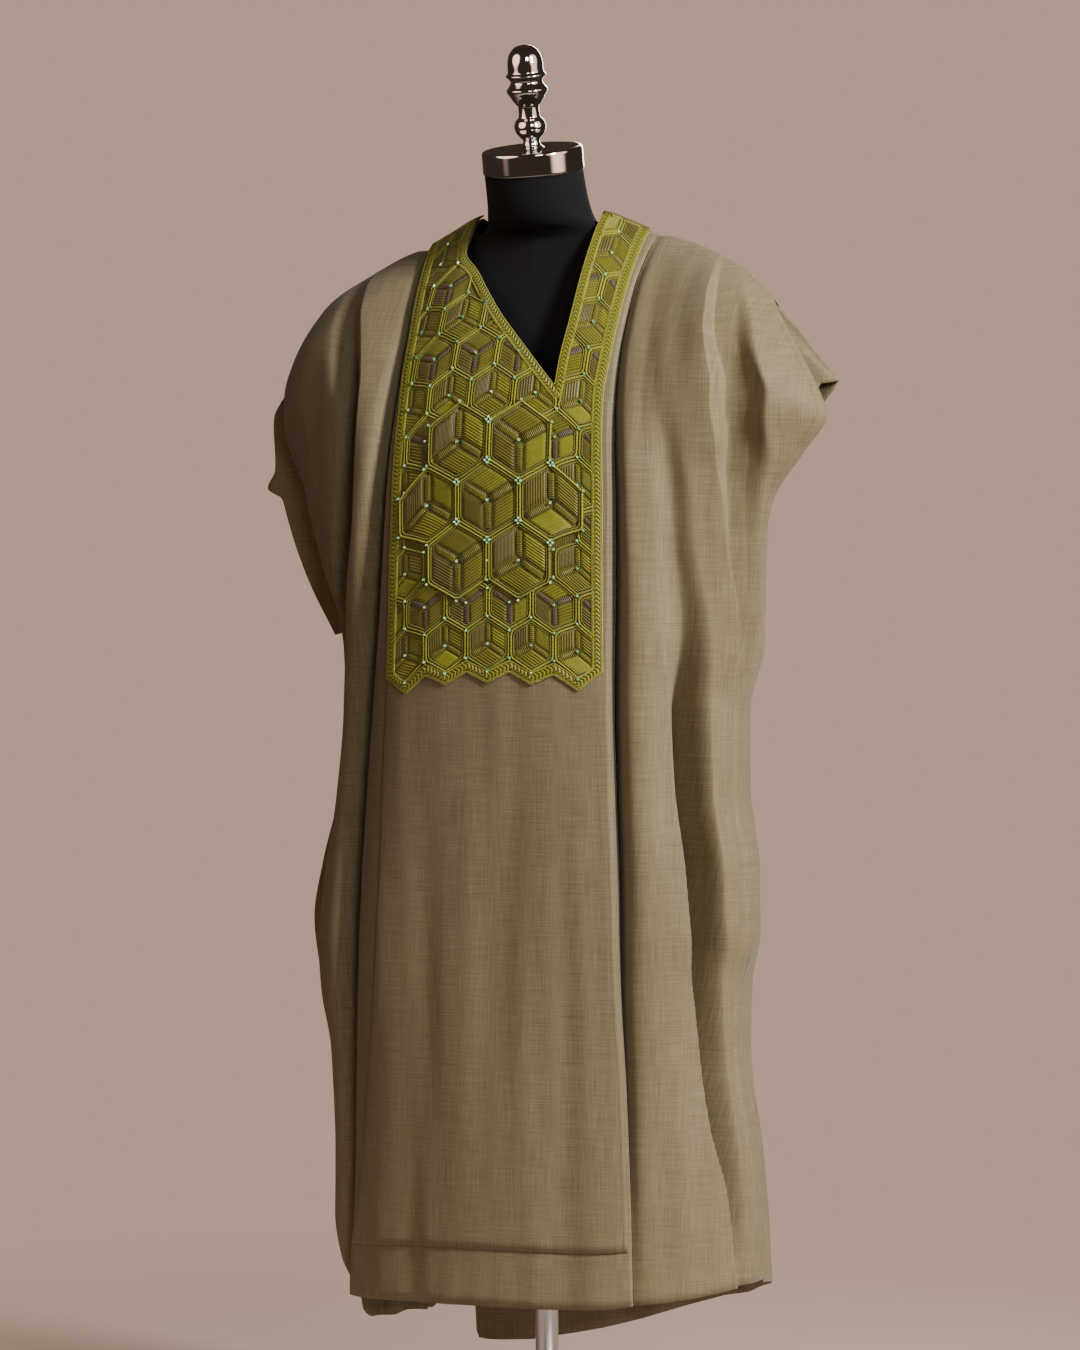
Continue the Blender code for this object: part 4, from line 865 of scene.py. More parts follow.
def make_tuck(side, cloth):
    """The folded-in end of a sleeve: curves through the CAD's rows, over the shoulder line
    where the row there has no height of its own."""
    rows = dict(TUCKS[side])
    number = np.arange(len(rows["face"]), dtype=float)
    at = np.linspace(0, number[-1], 70)
    fine = {key: follow({"row": number, key: rows[key]}, key, at)[:, None]
            for key in ("face", "inner_x", "outer_x")}
    for key in ("inner_z", "outer_z"):
        beside = (np.roll(rows[key], 1) + np.roll(rows[key], -1)) / 2
        fine[key] = np.interp(at, number, np.where(rows["face"] == 0, beside, rows[key]))[:, None]
    across = np.linspace(0, 1, 26)[None, :]
    x, z = (fine["inner" + key] + (fine["outer" + key] - fine["inner" + key]) * across
            for key in ("_x", "_z"))
    line = follow(SHOULDER_LINE, "z", side * x) - TUCK_DROP[side]
    turn = np.clip(np.abs(fine["face"]), 0, 1)
    z = line + (np.minimum(z, line) - line) * turn ** 0.7
    w = np.clip((line - z) / TYPICAL_DROP, 0, 1)
    y = np.sign(fine["face"]) * turn * TUCK_DEPTH_SHARE * follow(ARM_OPENING, "half", w)
    add_cloth(f"tuck_{side_name(side)}", f"sleeve_{side_name(side)}_tuck",
              np.stack([side * x, y, z], axis=-1), (x, z), cloth, side == LEFT)


def make_seams(thread):
    """Stitches along the hems, the panel's edges and the sleeve openings."""
    pile = Pile()

    def sew(points_at):
        path = points_at(0.0)
        stitches(pile, path, points_at(STITCH_AHEAD) - path)

    for face in (FRONT, BACK):
        w = np.full(80, 1 - HEM_WIDTH / CENTRE_DROP)
        x = np.linspace(flat_edge(w[:1], RIGHT)[0], flat_edge(w[:1], LEFT)[0], 80)
        sew(lambda out: centre_surface(x, w, face, out - STITCH_SINK))
        for side in (LEFT, RIGHT):
            row = np.array([1 - HEM_WIDTH / SLEEVE_DROP])
            sew(lambda out: sleeve_points(side, face, row, out - STITCH_SINK)[0][0][12:-2])
            rows = np.linspace(0.03, 0.35, 90)
            sew(lambda out: sleeve_points(side, face, rows, out)[0][:, -9])
    w = np.linspace(0.44, PANEL_END_W - 0.004, 240)
    right = flat_edge(w, RIGHT) - follow(INSET, "step", w) + STITCH_INSET
    left = pleat_x(w, LEFT) - PANEL_EDGE_INSET - STITCH_INSET
    across, low = np.linspace(right[-1], left[-1], 80), np.full(80, PANEL_END_W - 0.004)
    on_panel = LAY_GAP + PANEL_CLOTH + 0.0002
    for x, rows in ((right, w), (left, w), (across, low)):
        sew(lambda out: centre_surface(x, rows, FRONT, on_panel + out))
    pile.piece("seam_stitches", thread)


# The embroidered yoke, worked out flat as x, length down the cloth and height, and then
# laid on the robe


ROWS_DOWN = np.linspace(0, 0.5, 400)
DOWN = lengths_along(centre_surface(np.full(400, 0.09), ROWS_DOWN, FRONT, 0.0))


def row_of(down):
    return np.interp(down, DOWN, ROWS_DOWN)


def down_of(w):
    return np.interp(w, ROWS_DOWN, DOWN)


def lay_on_robe(points):
    """Points of x, length down the cloth and height, laid on the yoke's outer surface."""
    x, down, height = points.T
    return centre_surface(x, row_of(down), FRONT, PLASTRON_OUT + height)


def zigzag(x):
    """Length down to the yoke's lower edge at x: straight lines between points and notches."""
    w = np.array([0.425])
    first, last = flat_edge(w, RIGHT)[0], flat_edge(w, LEFT)[0]
    middle = follow(BELOW_NECK, "x", w)[0]
    knots = np.concatenate([np.linspace(first, middle, 9), np.linspace(middle, last, 3)[1:]])
    low = np.where(np.arange(11) % 2 == 1, PLASTRON_POINT_W, PLASTRON_NOTCH_W)
    low[[0, -1]] = PLASTRON_CORNER_W
    return np.interp(x, knots, down_of(low)), knots


NECK_SLOPE = {"right_edge": 1.32, "left_edge": -0.057}


def neck_line(w, name):
    """x of a neck edge, carried on straight below the opening's tip."""
    return np.where(w < NECK_TIP_W, follow(NECK, name, np.minimum(w, NECK_TIP_W)),
                    NECK["left_edge"][-1] + NECK_SLOPE[name] * (w - NECK_TIP_W))


def neck_inset(w, name, inset):
    """x at a distance from a neck edge, square to it, on the yoke's side of it."""
    slope = (neck_line(w + 0.002, name) - neck_line(w - 0.002, name)) / 0.004 / CENTRE_DROP
    away = inset * np.sqrt(1 + slope ** 2)
    return neck_line(w, name) + (away if name == "left_edge" else -away)


def keep_inside(x, down, centre, inset):
    """x and length down, held within the yoke's border on the side of its centre."""
    w = row_of(down)
    low = flat_edge(w, RIGHT) + inset
    high = flat_edge(w, LEFT) - inset
    right, left = neck_inset(w, "right_edge", inset), neck_inset(w, "left_edge", inset)
    beside = right < left
    middle_w = row_of(np.array([centre[1]]))
    middle = (neck_line(middle_w, "right_edge") + neck_line(middle_w, "left_edge"))[0] / 2
    if centre[0] < middle:
        high = np.where(beside, np.minimum(right, high), high)
    else:
        low = np.where(beside, np.maximum(left, low), low)
    x = np.clip(x, low, np.maximum(high, low))
    return x, np.clip(down, 0.006, zigzag(x)[0] - inset * 1.2)


def hexagon(centre, width, inset=0.0):
    """Corners of a hexagon that stands on a point, its sides moved in by `inset`."""
    radius = (width / 2 - inset) / math.cos(math.pi / 6)
    turn = math.pi / 2 + np.arange(6) * math.pi / 3
    return np.stack([centre[0] + radius * np.cos(turn), centre[1] - radius * np.sin(turn)], 1)


def cord(pile, path, radius, height, shade, centre=None):
    """A cord lying on the yoke along a flat path: circles square to the path. With a centre,
    the path is closed and held within the yoke."""
    closed = centre is not None
    sides = 6 if closed else 8
    here = resample(np.concatenate([path, path[:1]]) if closed else path, CORD_STEP)
    if closed:
        here = np.stack(keep_inside(*here[:-1].T, centre, BRAID_WIDTH), axis=1)
    ahead = directions(here, closed)
    across = np.stack([-ahead[:, 1], ahead[:, 0]], axis=1)
    turn = circle(sides)
    flat = here[:, None, :] + across[:, None, :] * (radius * np.cos(turn))[None, :, None]
    tall = np.broadcast_to(height + radius * np.sin(turn)[None, :, None], flat.shape[:2] + (1,))
    points = np.concatenate([flat, tall], axis=-1)
    # The UV counts the cord's lays, with the thread's painted groove shade between them.
    uv = np.stack(np.broadcast_arrays(lengths_along(here)[:, None] / CORD_LAY, turn), axis=-1)
    if closed:
        points = np.concatenate([points, points[:1]])
        uv = np.concatenate([uv, uv[:1]])
    pile.add(points, cells(len(points), sides, closed=True, flip=True), uv, shade)


def plate(pile, corners, height, pitch, along, shade, centre, count=7):
    """A satin-stitched patch: a grid between four corners, flat on top and falling steeply at
    its edges, its threads running from the first corner to the one numbered `along`."""
    shares = np.concatenate([[0], np.linspace(0.06, 0.94, count), [1]])
    a, b = np.meshgrid(shares, shares)
    rise = ((1 - (2 * a - 1) ** 14) * (1 - (2 * b - 1) ** 14)) ** 0.5
    a, b = a[..., None], b[..., None]
    c = np.array(corners)
    flat = c[0] * (1 - a) * (1 - b) + c[1] * a * (1 - b) + c[2] * a * b + c[3] * (1 - a) * b
    x, down = keep_inside(flat[..., 0], flat[..., 1], centre, BRAID_WIDTH)
    points = np.stack([x, down, (height + PATCH_SINK) * rise - PATCH_SINK], axis=-1)
    way = unit(c[along] - c[0])
    # The UV counts rows of stitches, with the thread's painted groove shade between them.
    uv = flat @ np.array([[-way[1], way[0]], way]) / pitch
    pile.add(points, cells(count + 2, count + 2, flip=True), uv, shade)


def stone(pile, x, down, height, radius):
    """A six-sided cut stone: a girdle, a crown sloping in, and a flat table."""
    turn = circle(6)
    points = [np.stack([x + r * radius * np.cos(turn), down + r * radius * np.sin(turn),
                        np.full(6, height + h * radius / 0.0016)], axis=1)
              for r, h in ((0.95, -0.0004), (1.0, 0.0006), (0.55, 0.0016))]
    top = np.array([[15, 14, 13, 12], [17, 16, 15, 12]])
    pile.add(np.concatenate(points), np.concatenate([cells(3, 6, closed=True), top]))


def rhombus(centre, corners, k):
    """A third of a hexagon: its middle and three of its corners from the one numbered `k`."""
    return np.vstack([centre, corners[np.arange(k, k + 3) % 6]])


def inside_yoke(centre, margin):
    x, down = keep_inside(np.array([centre[0]]), np.array([centre[1]]), centre, BRAID_WIDTH)
    return math.hypot(x[0] - centre[0], down[0] - centre[1]) < margin


def block_pattern(pile, stones, centre, width, style):
    """One hexagon of the tumbling-block embroidery: outline cords, three satin rhombi, three
    bars along their shared sides, and a stone in the middle."""
    up = style % 2
    corners = hexagon(centre, width)
    big = width == LARGE_HEXAGON
    base = LARGE_BASE if big else 0.0
    cord(pile, hexagon(centre, width, 0.0017), CORD_RADIUS * (1.15 if big else 1), base + 0.0006,
         1.0 if style % 3 else 0.8, centre)
    cord(pile, hexagon(centre, width, 0.0047), CORD_RADIUS * 0.8, base + 0.0004, 0.62, centre)
    shades = ((0.28, 0.55, 0.72), (0.34, 0.90, 0.50), (0.22, 0.62, 0.62))[style % 3]
    bar_shade = 0.45 if big else (0.02 if up else 0.55)
    for j in range(3):
        third = rhombus(centre, corners, 2 * j + up)
        middle = third.mean(axis=0)
        shrunk = middle + (third - middle) * (0.74 if big else 0.70)
        plate(pile, shrunk, base + PATCH_HEIGHT, 0.0017 if j == style % 3 else 0.0031,
              3 if j % 2 else 1, shades[j], centre)
        way = unit(third[1] - third[0])
        side = np.array([-way[1], way[0]]) * (0.0042 if big else 0.0027)
        near, far = third[0] + way * 0.003, third[0] + (third[1] - third[0]) * 0.78
        plate(pile, [near - side, far - side, far + side, near + side],
              base + PATCH_HEIGHT, 0.0023, 3, bar_shade, centre, 5)
    if inside_yoke(centre, 0.004):
        stone(stones, *centre, base + 0.0012, LARGE_STONE if big else SMALL_STONE)


def away_from(place, others):
    """How far a place is from the nearest of others."""
    return min(math.hypot(place[0] - x, place[1] - y) for x, y in others)


def make_yoke_pattern(thread, crystal):
    """The lattice of small hexagons, the rosette of large ones, and stones where they meet."""
    pile, stones = Pile(), Pile()
    middle_x = zigzag(np.array([0.0]))[1][5]
    small_radius, large_radius = SMALL_HEXAGON / math.sqrt(3), LARGE_HEXAGON / math.sqrt(3)
    start = zigzag(np.array([middle_x]))[0][0] - 0.0125 - small_radius
    rosette = (middle_x, ROSETTE_DOWN)
    large = [(rosette[0] + i * LARGE_HEXAGON + (j % 2) * LARGE_HEXAGON / 2,
              rosette[1] + j * 1.5 * large_radius)
             for j, row in ((-1, (-1, 0)), (0, (-1, 0, 1)), (1, (-1, 0))) for i in row]
    lattice = []
    for row in range(13):
        for column in range(-4, 5):
            centre = (middle_x + (column + 0.5 * (row % 2)) * SMALL_HEXAGON,
                      start - row * 1.5 * small_radius)
            clear = away_from(centre, large) >= LARGE_HEXAGON * 0.5
            if clear and inside_yoke(centre, SMALL_HEXAGON * 0.42):
                block_pattern(pile, stones, centre, SMALL_HEXAGON, (row + 2 * column) % 6)
                lattice.append(hexagon(centre, SMALL_HEXAGON))
    for number, centre in enumerate(large):
        corners = hexagon(centre, LARGE_HEXAGON)
        for k in (0, 2, 4):
            plate(pile, rhombus(centre, corners, k), 0.0018, 0.0020, 1, 0.30, centre, 6)
        block_pattern(pile, stones, centre, LARGE_HEXAGON, number)
        lattice.append(corners)
    seen = set()
    for x, down in np.concatenate(lattice):
        key = (round(x / 0.006), round(down / 0.006))
        if key in seen or not inside_yoke((x, down), 0.0035):
            continue
        seen.add(key)
        under = away_from((x, down), large) - large_radius
        if under < -0.003:
            continue
        on_large = abs(under) < 0.003
        height = 0.0027 if on_large else 0.0012
        if on_large and away_from((x, down), [rosette]) < 2 * large_radius:
            for turn in circle(4):
                stone(stones, x + STONE_SPREAD * math.cos(turn),
                      down + STONE_SPREAD * math.sin(turn), height, STONE_RADIUS)
        else:
            stone(stones, x, down, height, STONE_RADIUS)
    pile.piece("embroidery_blocks", thread, lay_on_robe)
    stones.piece("embroidery_stones", crystal, lay_on_robe).data.shade_flat()


def braid(pile, path):
    """A flat braid along a flat path: a low arch across, with slanting ridges that meet in
    its middle as chevrons."""
    path = resample(path, BRAID_STEP)
    for _ in range(3):
        path[1:-1] = (path[:-2] + path[1:-1] * 2 + path[2:]) / 4
    ahead = unit(np.gradient(path, axis=0))
    across = np.stack([-ahead[:, 1], ahead[:, 0]], axis=1)
    t = np.linspace(-1, 1, 11)[None, :]
    turns = (np.arange(len(path)) * BRAID_STEP)[:, None] / BRAID_PITCH + 0.8 * np.abs(t)
    flat = path[:, None, :] + across[:, None, :] * (t * BRAID_WIDTH / 2)[..., None]
    ridge = np.abs(np.sin(math.pi * turns))
    height = 0.0002 + 0.0009 * (1 - t ** 6) + 0.0008 * ridge * (1 - t ** 4)
    points = np.concatenate([flat, height[..., None]], axis=-1)
    # The UV lines the thread's painted groove shade up with the valleys between the ridges.
    uv = np.stack(np.broadcast_arrays(turns - 0.25, t * 3), axis=-1)
    pile.add(points, cells(len(path), 11), uv, 0.66)


def make_yoke_border(thread):
    """Braids along the yoke's sides, zigzag and neck, with a cord on either side of each and
    a twisted cord along the outer edge."""
    pile = Pile()
    half = BRAID_WIDTH / 2 + 0.0008
    w = np.linspace(0.0045, PLASTRON_CORNER_W - 0.004, 300)
    neck_w = np.linspace(0.0045, NECK_TIP_W + 0.0093, 160)

    def outline(inset):
        knots = zigzag(np.array([0.0]))[1]
        x = np.linspace(knots[0] + inset, knots[-1] - inset, 200)
        bottom = np.stack([x, zigzag(x)[0] - inset * 1.15], axis=1)
        right = np.stack([flat_edge(w, RIGHT) + inset, down_of(w)], axis=1)
        left = np.stack([flat_edge(w, LEFT) - inset, down_of(w)], axis=1)
        return np.concatenate([right, bottom, left[::-1]])

    def neck(inset):
        right = neck_inset(neck_w, "right_edge", inset)
        left = neck_inset(neck_w, "left_edge", inset)
        meet = np.maximum(np.argmax(right > left), 1) if (right > left).any() else len(right)
        both = [np.stack([x, down_of(neck_w)], axis=1)[:meet] for x in (right, left)]
        return np.concatenate([both[0], both[1][::-1]])

    for line in (outline, neck):
        braid(pile, line(half))
        for inset, radius, shade in ((0.0008, 0.0009, 0.9), (2 * half - 0.0004, 0.0008, 1.0)):
            cord(pile, line(inset), radius, 0.0007, shade)
    edge = resample(outline(-0.0007), 0.0008)
    turn = np.arange(len(edge)) * 0.0008 / 0.0034 * 2 * math.pi
    for phase in (0, math.pi):
        wound = edge.copy()
        wound[:, 0] += 0.00055 * np.cos(turn + phase)
        line = np.concatenate([wound, (0.0004 + 0.0005 * np.sin(turn + phase))[:, None]], axis=1)
        points, faces, uv = tube(line, 0.00065, 5)
        pile.add(points, faces, uv * 1000, 1.15)
    pile.piece("embroidery_border", thread, lay_on_robe)


def make_yoke_cloth(finish):
    """The yoke's ground: the front's own columns moved out, cut along the zigzag."""
    above, right, left = 60, 65, 17
    t = np.linspace(0, 1, 90)[1:]
    w = np.concatenate([cloth_rows(above, 0, NECK_TIP_W),
                        NECK_TIP_W + (PLASTRON_NOTCH_W - NECK_TIP_W) * t])
    right_edge, left_edge = neck_edges(w)
    x = np.concatenate([even(flat_edge(w, RIGHT), right_edge, right),
                        even(left_edge, flat_edge(w, LEFT), left)], axis=1)
    ws = w[:, None].repeat(x.shape[1], axis=1)
    end = row_of(zigzag(x[-1])[0])
    ws[above:] = NECK_TIP_W + (end - NECK_TIP_W)[None, :] * t[:, None]
    grid = centre_surface(x, ws, FRONT, PLASTRON_OUT)
    add_cloth("yoke_cloth", "plastron", grid, (x, down_of(ws)), finish, True, PLASTRON_CLOTH,
              slit=(right, above - 1))


# The dress form and its stand


def make_form(jersey):
    """The torso: superellipse sections whose sizes follow the CAD's as cubics over height."""
    z = np.linspace(FORM["z"][0], FORM["z"][-1], 190)
    size = {name: follow(FORM, name, z)[:, None] for name in FORM if name != "z"}
    cos, sin = np.cos(circle(120)), np.sin(circle(120))
    x = size["wide"] * np.sign(cos) * np.abs(cos) ** (2 / size["power"])
    ahead = np.sign(sin) * np.abs(sin) ** (2 / size["power"])
    y = np.where(sin < 0, size["front"], size["back"]) * ahead
    height = z[:, None] + y * np.tan(np.radians(size["tilt"]))
    points, faces = closed_rings(np.stack([x, y + size["y"], height], axis=-1))
    uv = np.stack([np.arctan2(points[:, 0], -points[:, 1]) * 0.15, points[:, 2]], axis=1)
    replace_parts(add_piece("form_body", points, faces, jersey, uv), "form_torso")


def make_turned(name, node, profile, seat, finish):
    """A turned metal piece: its profile about Z, closed by a middle point at each end."""
    points, faces = closed_rings(rings(*np.array(profile).T, 112))
    points = points @ np.array(seat.to_3x3()).T + np.array(seat.translation)
    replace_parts(add_piece(name, points, faces, finish), node)


def make_stand(steel, chrome):
    tilt = Matrix.Translation(CAP_SEAT) @ Matrix.Rotation(CAP_TILT, 4, "X")
    make_turned("cap_chrome", "neck_cap", np.concatenate([rounded(CAP, 90), [CAP_MIDDLE]]),
                tilt @ Matrix.Translation((0, 0, TOUCH_GAP)), chrome)
    make_turned("finial_chrome", "finial", rounded(FINIAL, 220),
                tilt @ Matrix.Translation((0, 0, CAP_HEIGHT + 2 * TOUCH_GAP)), chrome)
    low, high = BASE_TOP + TOUCH_GAP, FORM_BOTTOM - TOUCH_GAP
    pole = [(POLE_RADIUS - 0.001, low), (POLE_RADIUS, low + 0.001), (POLE_RADIUS, high - 0.001),
            (POLE_RADIUS - 0.001, high)]
    make_turned("pole_steel", "pole", pole, Matrix.Identity(4), steel)
    make_turned("base_steel", "stand_base", BASE, Matrix.Identity(4), steel)


# The materials


class Value:
    """A shader socket that Python's operators turn into Math nodes."""

    def __init__(self, nodes, socket):
        self.nodes, self.socket = nodes, socket

    def math(self, operation, *others):
        return self.nodes.add("ShaderNodeMath", {"operation": operation}, self, *others)

    def __add__(self, other):
        return self.math("ADD", other)

    def __mul__(self, other):
        return self.math("MULTIPLY", other)

    def __sub__(self, other):
        return self.math("SUBTRACT", other)

    def __rsub__(self, other):
        return self.nodes.add("ShaderNodeMath", {"operation": "SUBTRACT"}, other, self)

    def clipped(self):
        return self.math("MAXIMUM", 0.0).math("MINIMUM", 1.0)


class Nodes:
    """A node tree under construction."""

    def __init__(self, tree):
        self.tree = tree

    def add(self, kind, settings, *values, output=0, **named):
        """Any node: its type, its settings, and the values or links of its sockets in order,
        None for a socket left as it is. Returns one of its outputs."""
        node = self.tree.nodes.new(kind)
        stops = settings.pop("stops", ())
        for key, value in settings.items():
            setattr(node, key, value)
        if stops:
            ramp = node.color_ramp.elements
            for _ in stops[2:]:
                ramp.new(0.5)
            for element, (place, colour) in zip(ramp, stops):
                element.position, element.color = place, (*colour, 1)
        self.fill(node, enumerate(values))
        self.fill(node, ((key.replace("_", " "), value) for key, value in named.items()))
        return Value(self, node.outputs[output])

    def fill(self, node, sockets):
        for key, value in sockets:
            if isinstance(value, Value):
                self.tree.links.new(value.socket, node.inputs[key])
            elif value is not None:
                node.inputs[key].default_value = value


class Finish(Nodes):
    """A material under construction: a Principled shader and the nodes that feed it."""

    def __init__(self, name, **constants):
        self.name, self.material = name, bpy.data.materials.new(name)
        self.material.use_nodes = True
        super().__init__(self.material.node_tree)
        self.shader = self.tree.nodes["Principled BSDF"]
        self.feed(**constants)

    def feed(self, **sockets):
        """Values or links for the shader's sockets."""
        self.fill(self.shader, ((key.replace("_", " "), value) for key, value in sockets.items()))
        return self

    def place(self, scale):
        """The piece's own UV map, in metres, stretched by three numbers."""
        uv = self.add("ShaderNodeUVMap", {"uv_map": "cloth"})
        return self.add("ShaderNodeVectorMath", {"operation": "MULTIPLY"}, uv, scale)

    def spot(self, scale):
        """Object coordinates, stretched by three numbers."""
        where = self.add("ShaderNodeTexCoord", {}, output=3)
        return self.add("ShaderNodeVectorMath", {"operation": "MULTIPLY"}, where, scale)

    def wave(self, radians):
        """A sine wave across the UV map, `radians` to the metre."""
        across = self.add("ShaderNodeSeparateXYZ", {}, self.place((radians, 1, 1)))
        return across.math("SINE")

    def noise(self, where, detail=2.0):
        return self.add("ShaderNodeTexNoise", {"noise_dimensions": "3D"}, Vector=where, Scale=1.0,
                        Detail=detail, Roughness=0.5, Distortion=0.0)

    def ramp(self, factor, *stops):
        return self.add("ShaderNodeValToRGB", {"stops": stops}, factor)

    def blend(self, factor, first, second, how):
        """Two colours mixed: the node's last two sockets."""
        return self.add("ShaderNodeMix", {"data_type": "RGBA", "blend_type": how},
                        factor, *[None] * 5, first, second, output=2)

    def bump(self, height, strength, distance):
        return self.feed(Normal=self.add("ShaderNodeBump", {}, Strength=strength,
                                         Distance=distance, Height=height))

    def mottled(self, scale, detail, low, high, gain, least):
        """Colour and roughness from one noise: two colours with where they start, and a
        share of the noise added to the least roughness."""
        mottle = self.noise(self.spot(scale), detail)
        colour = self.ramp(mottle, low, high)
        return self.feed(Base_Color=colour, Roughness=mottle * gain + least)


def suiting():
    """Plain-woven melange: light and dark threads cross, each thread uneven along its length."""
    cloth = Finish("suiting_cloth", Sheen_Weight=0.22, Sheen_Roughness=0.45,
                   Specular_IOR_Level=0.30)
    warp, weft, slub, slub_across, cloud = (
        cloth.noise(cloth.place(scale), detail) for scale, detail in (
            ((1150, 26, 1), 1.5), ((26, 1150, 1), 1.5), ((420, 12, 1), 1.0),
            ((14, 420, 1), 1.0), ((7, 3, 1), 2.0)))
    threads = warp * 0.34 + weft * 0.34 + slub * 0.15 + slub_across * 0.12 + cloud * 0.12
    tone = (threads - 0.31) * 2.0
    colour = cloth.ramp(tone, (0.0, (0.108, 0.084, 0.038)), (0.5, (0.222, 0.184, 0.100)),
                        (1.0, (0.345, 0.304, 0.192)))
    weave = cloth.wave(2 * math.pi / 0.0009) * 0.5 + warp + weft
    return cloth.feed(Base_Color=colour, Roughness=warp * 0.15 + 0.56).bump(weave, 0.22, 0.0004)


def embroidery_thread():
    """Satin stitch: UV counts the rows of stitches, the shade number picks the thread's colour,
    and painted shade darkens the grooves between rows.
    """
    thread = Finish("embroidery_thread", Sheen_Weight=0.12, Specular_IOR_Level=0.5)
    shade = thread.add("ShaderNodeAttribute", {"attribute_name": "shade"}, output=2)
    ridge = thread.wave(2 * math.pi) * 0.5 + 0.5
    uneven = thread.noise(thread.place((3.0, 0.7, 1)))
    patchy = thread.noise(thread.spot((190, 190, 190)))
    tone = (shade * 0.80 + (patchy - 0.5) * 0.16).clipped()
    colour = thread.ramp(tone, (0.0, (0.105, 0.085, 0.052)), (0.12, (0.115, 0.102, 0.020)),
                         (0.25, (0.130, 0.124, 0.004)), (0.55, (0.235, 0.240, 0.008)),
                         (0.80, (0.440, 0.455, 0.030)), (1.0, (0.600, 0.610, 0.160)))
    # Painted shade: a darker copy of the thread's colour, mixed in where the stitch wave is low,
    # in the grooves between rows.
    painted_groove_shade = thread.blend(1.0, colour, (0.34, 0.33, 0.28, 1), "MULTIPLY")
    groove = (ridge * 1.9 + (uneven - 0.5) * 0.8).clipped()
    thread.feed(Base_Color=thread.blend(groove, painted_groove_shade, colour, "MIX"),
                Roughness=0.62 - ridge * 0.18)
    return thread.bump(ridge + uneven * 0.3, 0.7, 0.0009)


def yoke_ground():
    """The yoke's stitched ground, close rows of darker thread."""
    ground = Finish("yoke_ground", Sheen_Weight=0.1, Specular_IOR_Level=0.4)
    ridge = ground.wave(2 * math.pi / 0.0021) * 0.5 + 0.5
    uneven = ground.noise(ground.place((500, 120, 1)))
    colour = ground.ramp(ridge * 0.5 + uneven * 0.5, (0.2, (0.060, 0.050, 0.010)),
                         (0.8, (0.165, 0.150, 0.014)))
    return ground.feed(Base_Color=colour, Roughness=0.75 - ridge * 0.1).bump(ridge, 0.5, 0.0005)


def jersey():
    """Fine black knit: close wales with a slight unevenness."""
    knit = Finish("form_jersey", Sheen_Weight=0.05, Sheen_Roughness=0.5, Specular_IOR_Level=0.18)
    wale = knit.wave(2 * math.pi / 0.0016)
    fuzz = knit.noise(knit.place((900, 500, 1)))
    cloud = knit.noise(knit.spot((9, 9, 9)))
    colour = knit.ramp(fuzz * 0.7 + cloud * 0.3, (0.2, (0.0018, 0.0019, 0.0026)),
                       (0.8, (0.0045, 0.0048, 0.0064)))
    knit.feed(Base_Color=colour, Roughness=fuzz * 0.15 + 0.74)
    return knit.bump(wale + fuzz, 0.25, 0.0003)


def chrome():
    """Polished plating, its gloss a little uneven with handling."""
    return Finish("chrome", Metallic=1.0).mottled(
        (60, 60, 30), 3.0, (0.3, (0.60, 0.60, 0.62)), (0.7, (0.68, 0.68, 0.70)), 0.06, 0.03)


def brushed_steel():
    """Satin steel with fine lines round its axis."""
    metal = Finish("brushed_steel", Metallic=1.0)
    lines = metal.noise(metal.spot((420, 420, 1400)))
    blotch = metal.noise(metal.spot((22, 22, 12)))
    colour = metal.ramp(blotch, (0.3, (0.46, 0.46, 0.47)), (0.7, (0.56, 0.56, 0.57)))
    return metal.feed(Base_Color=colour, Roughness=lines * 0.16 + 0.22).bump(lines, 0.05, 0.0001)


def crystal():
    """Green cut glass, deep green, with painted highlights: pale specks in its colour that stand
    for glints.
    """
    glass = Finish("green_crystal", Coat_Weight=1.0, Coat_Roughness=0.03, IOR=2.1, Metallic=0.35)
    painted_glint_noise = glass.noise(glass.spot((700, 700, 700)), 1.0)
    # Painted highlight: the pale last stop paints glints into the glass's colour.
    colour = glass.ramp(painted_glint_noise, (0.34, (0.006, 0.210, 0.055)), (0.48, (0.030, 0.520, 0.170)),
                        (0.57, (0.620, 0.980, 0.680)))
    return glass.feed(Base_Color=colour, Roughness=painted_glint_noise * 0.1 + 0.05)


def seam_thread():
    """Twisted sewing thread a little darker than the cloth."""
    return Finish("seam_thread", Sheen_Weight=0.2).mottled(
        (900, 900, 900), 2.0, (0.3, (0.085, 0.062, 0.032)), (0.7, (0.150, 0.115, 0.062)), 0.2, 0.6)


def floor_paint():
    """A pale matte studio floor with a faint mottle, which fades into the room far out."""
    paint = Finish("studio_floor").mottled(
        (3, 3, 3), 3.0, (0.3, (0.60, 0.46, 0.37)), (0.7, (0.64, 0.49, 0.40)), 0.1, 0.75)
    reach = paint.add("ShaderNodeVectorMath", {"operation": "LENGTH"}, paint.spot((1, 1, 0)),
                      output=1)
    fade = paint.add("ShaderNodeMapRange", {"interpolation_type": "SMOOTHSTEP"}, reach,
                     *FLOOR_FADE, 1.0, 0.0)
    return paint.feed(Alpha=fade)


# The studio


def aim(obj, place, target):
    obj.location = place
    obj.rotation_euler = (Vector(target) - Vector(place)).to_track_quat("-Z", "Y").to_euler()
    bpy.context.scene.collection.objects.link(obj)


def around(azimuth, distance, z):
    """A place round the object: azimuth 0 is in front of it, 90 to the wearer's left."""
    turn = math.radians(azimuth)
    return (distance * math.sin(turn), -distance * math.cos(turn), z)


def add_light(name, azimuth, distance, z, target_z, wide, tall, power, colour):
    light = bpy.data.lights.new(name, "AREA")
    light.shape, light.size, light.size_y = "RECTANGLE", wide, tall
    light.energy, light.color = power, colour
    aim(bpy.data.objects.new(name, light), around(azimuth, distance, z), (0, 0, target_z))


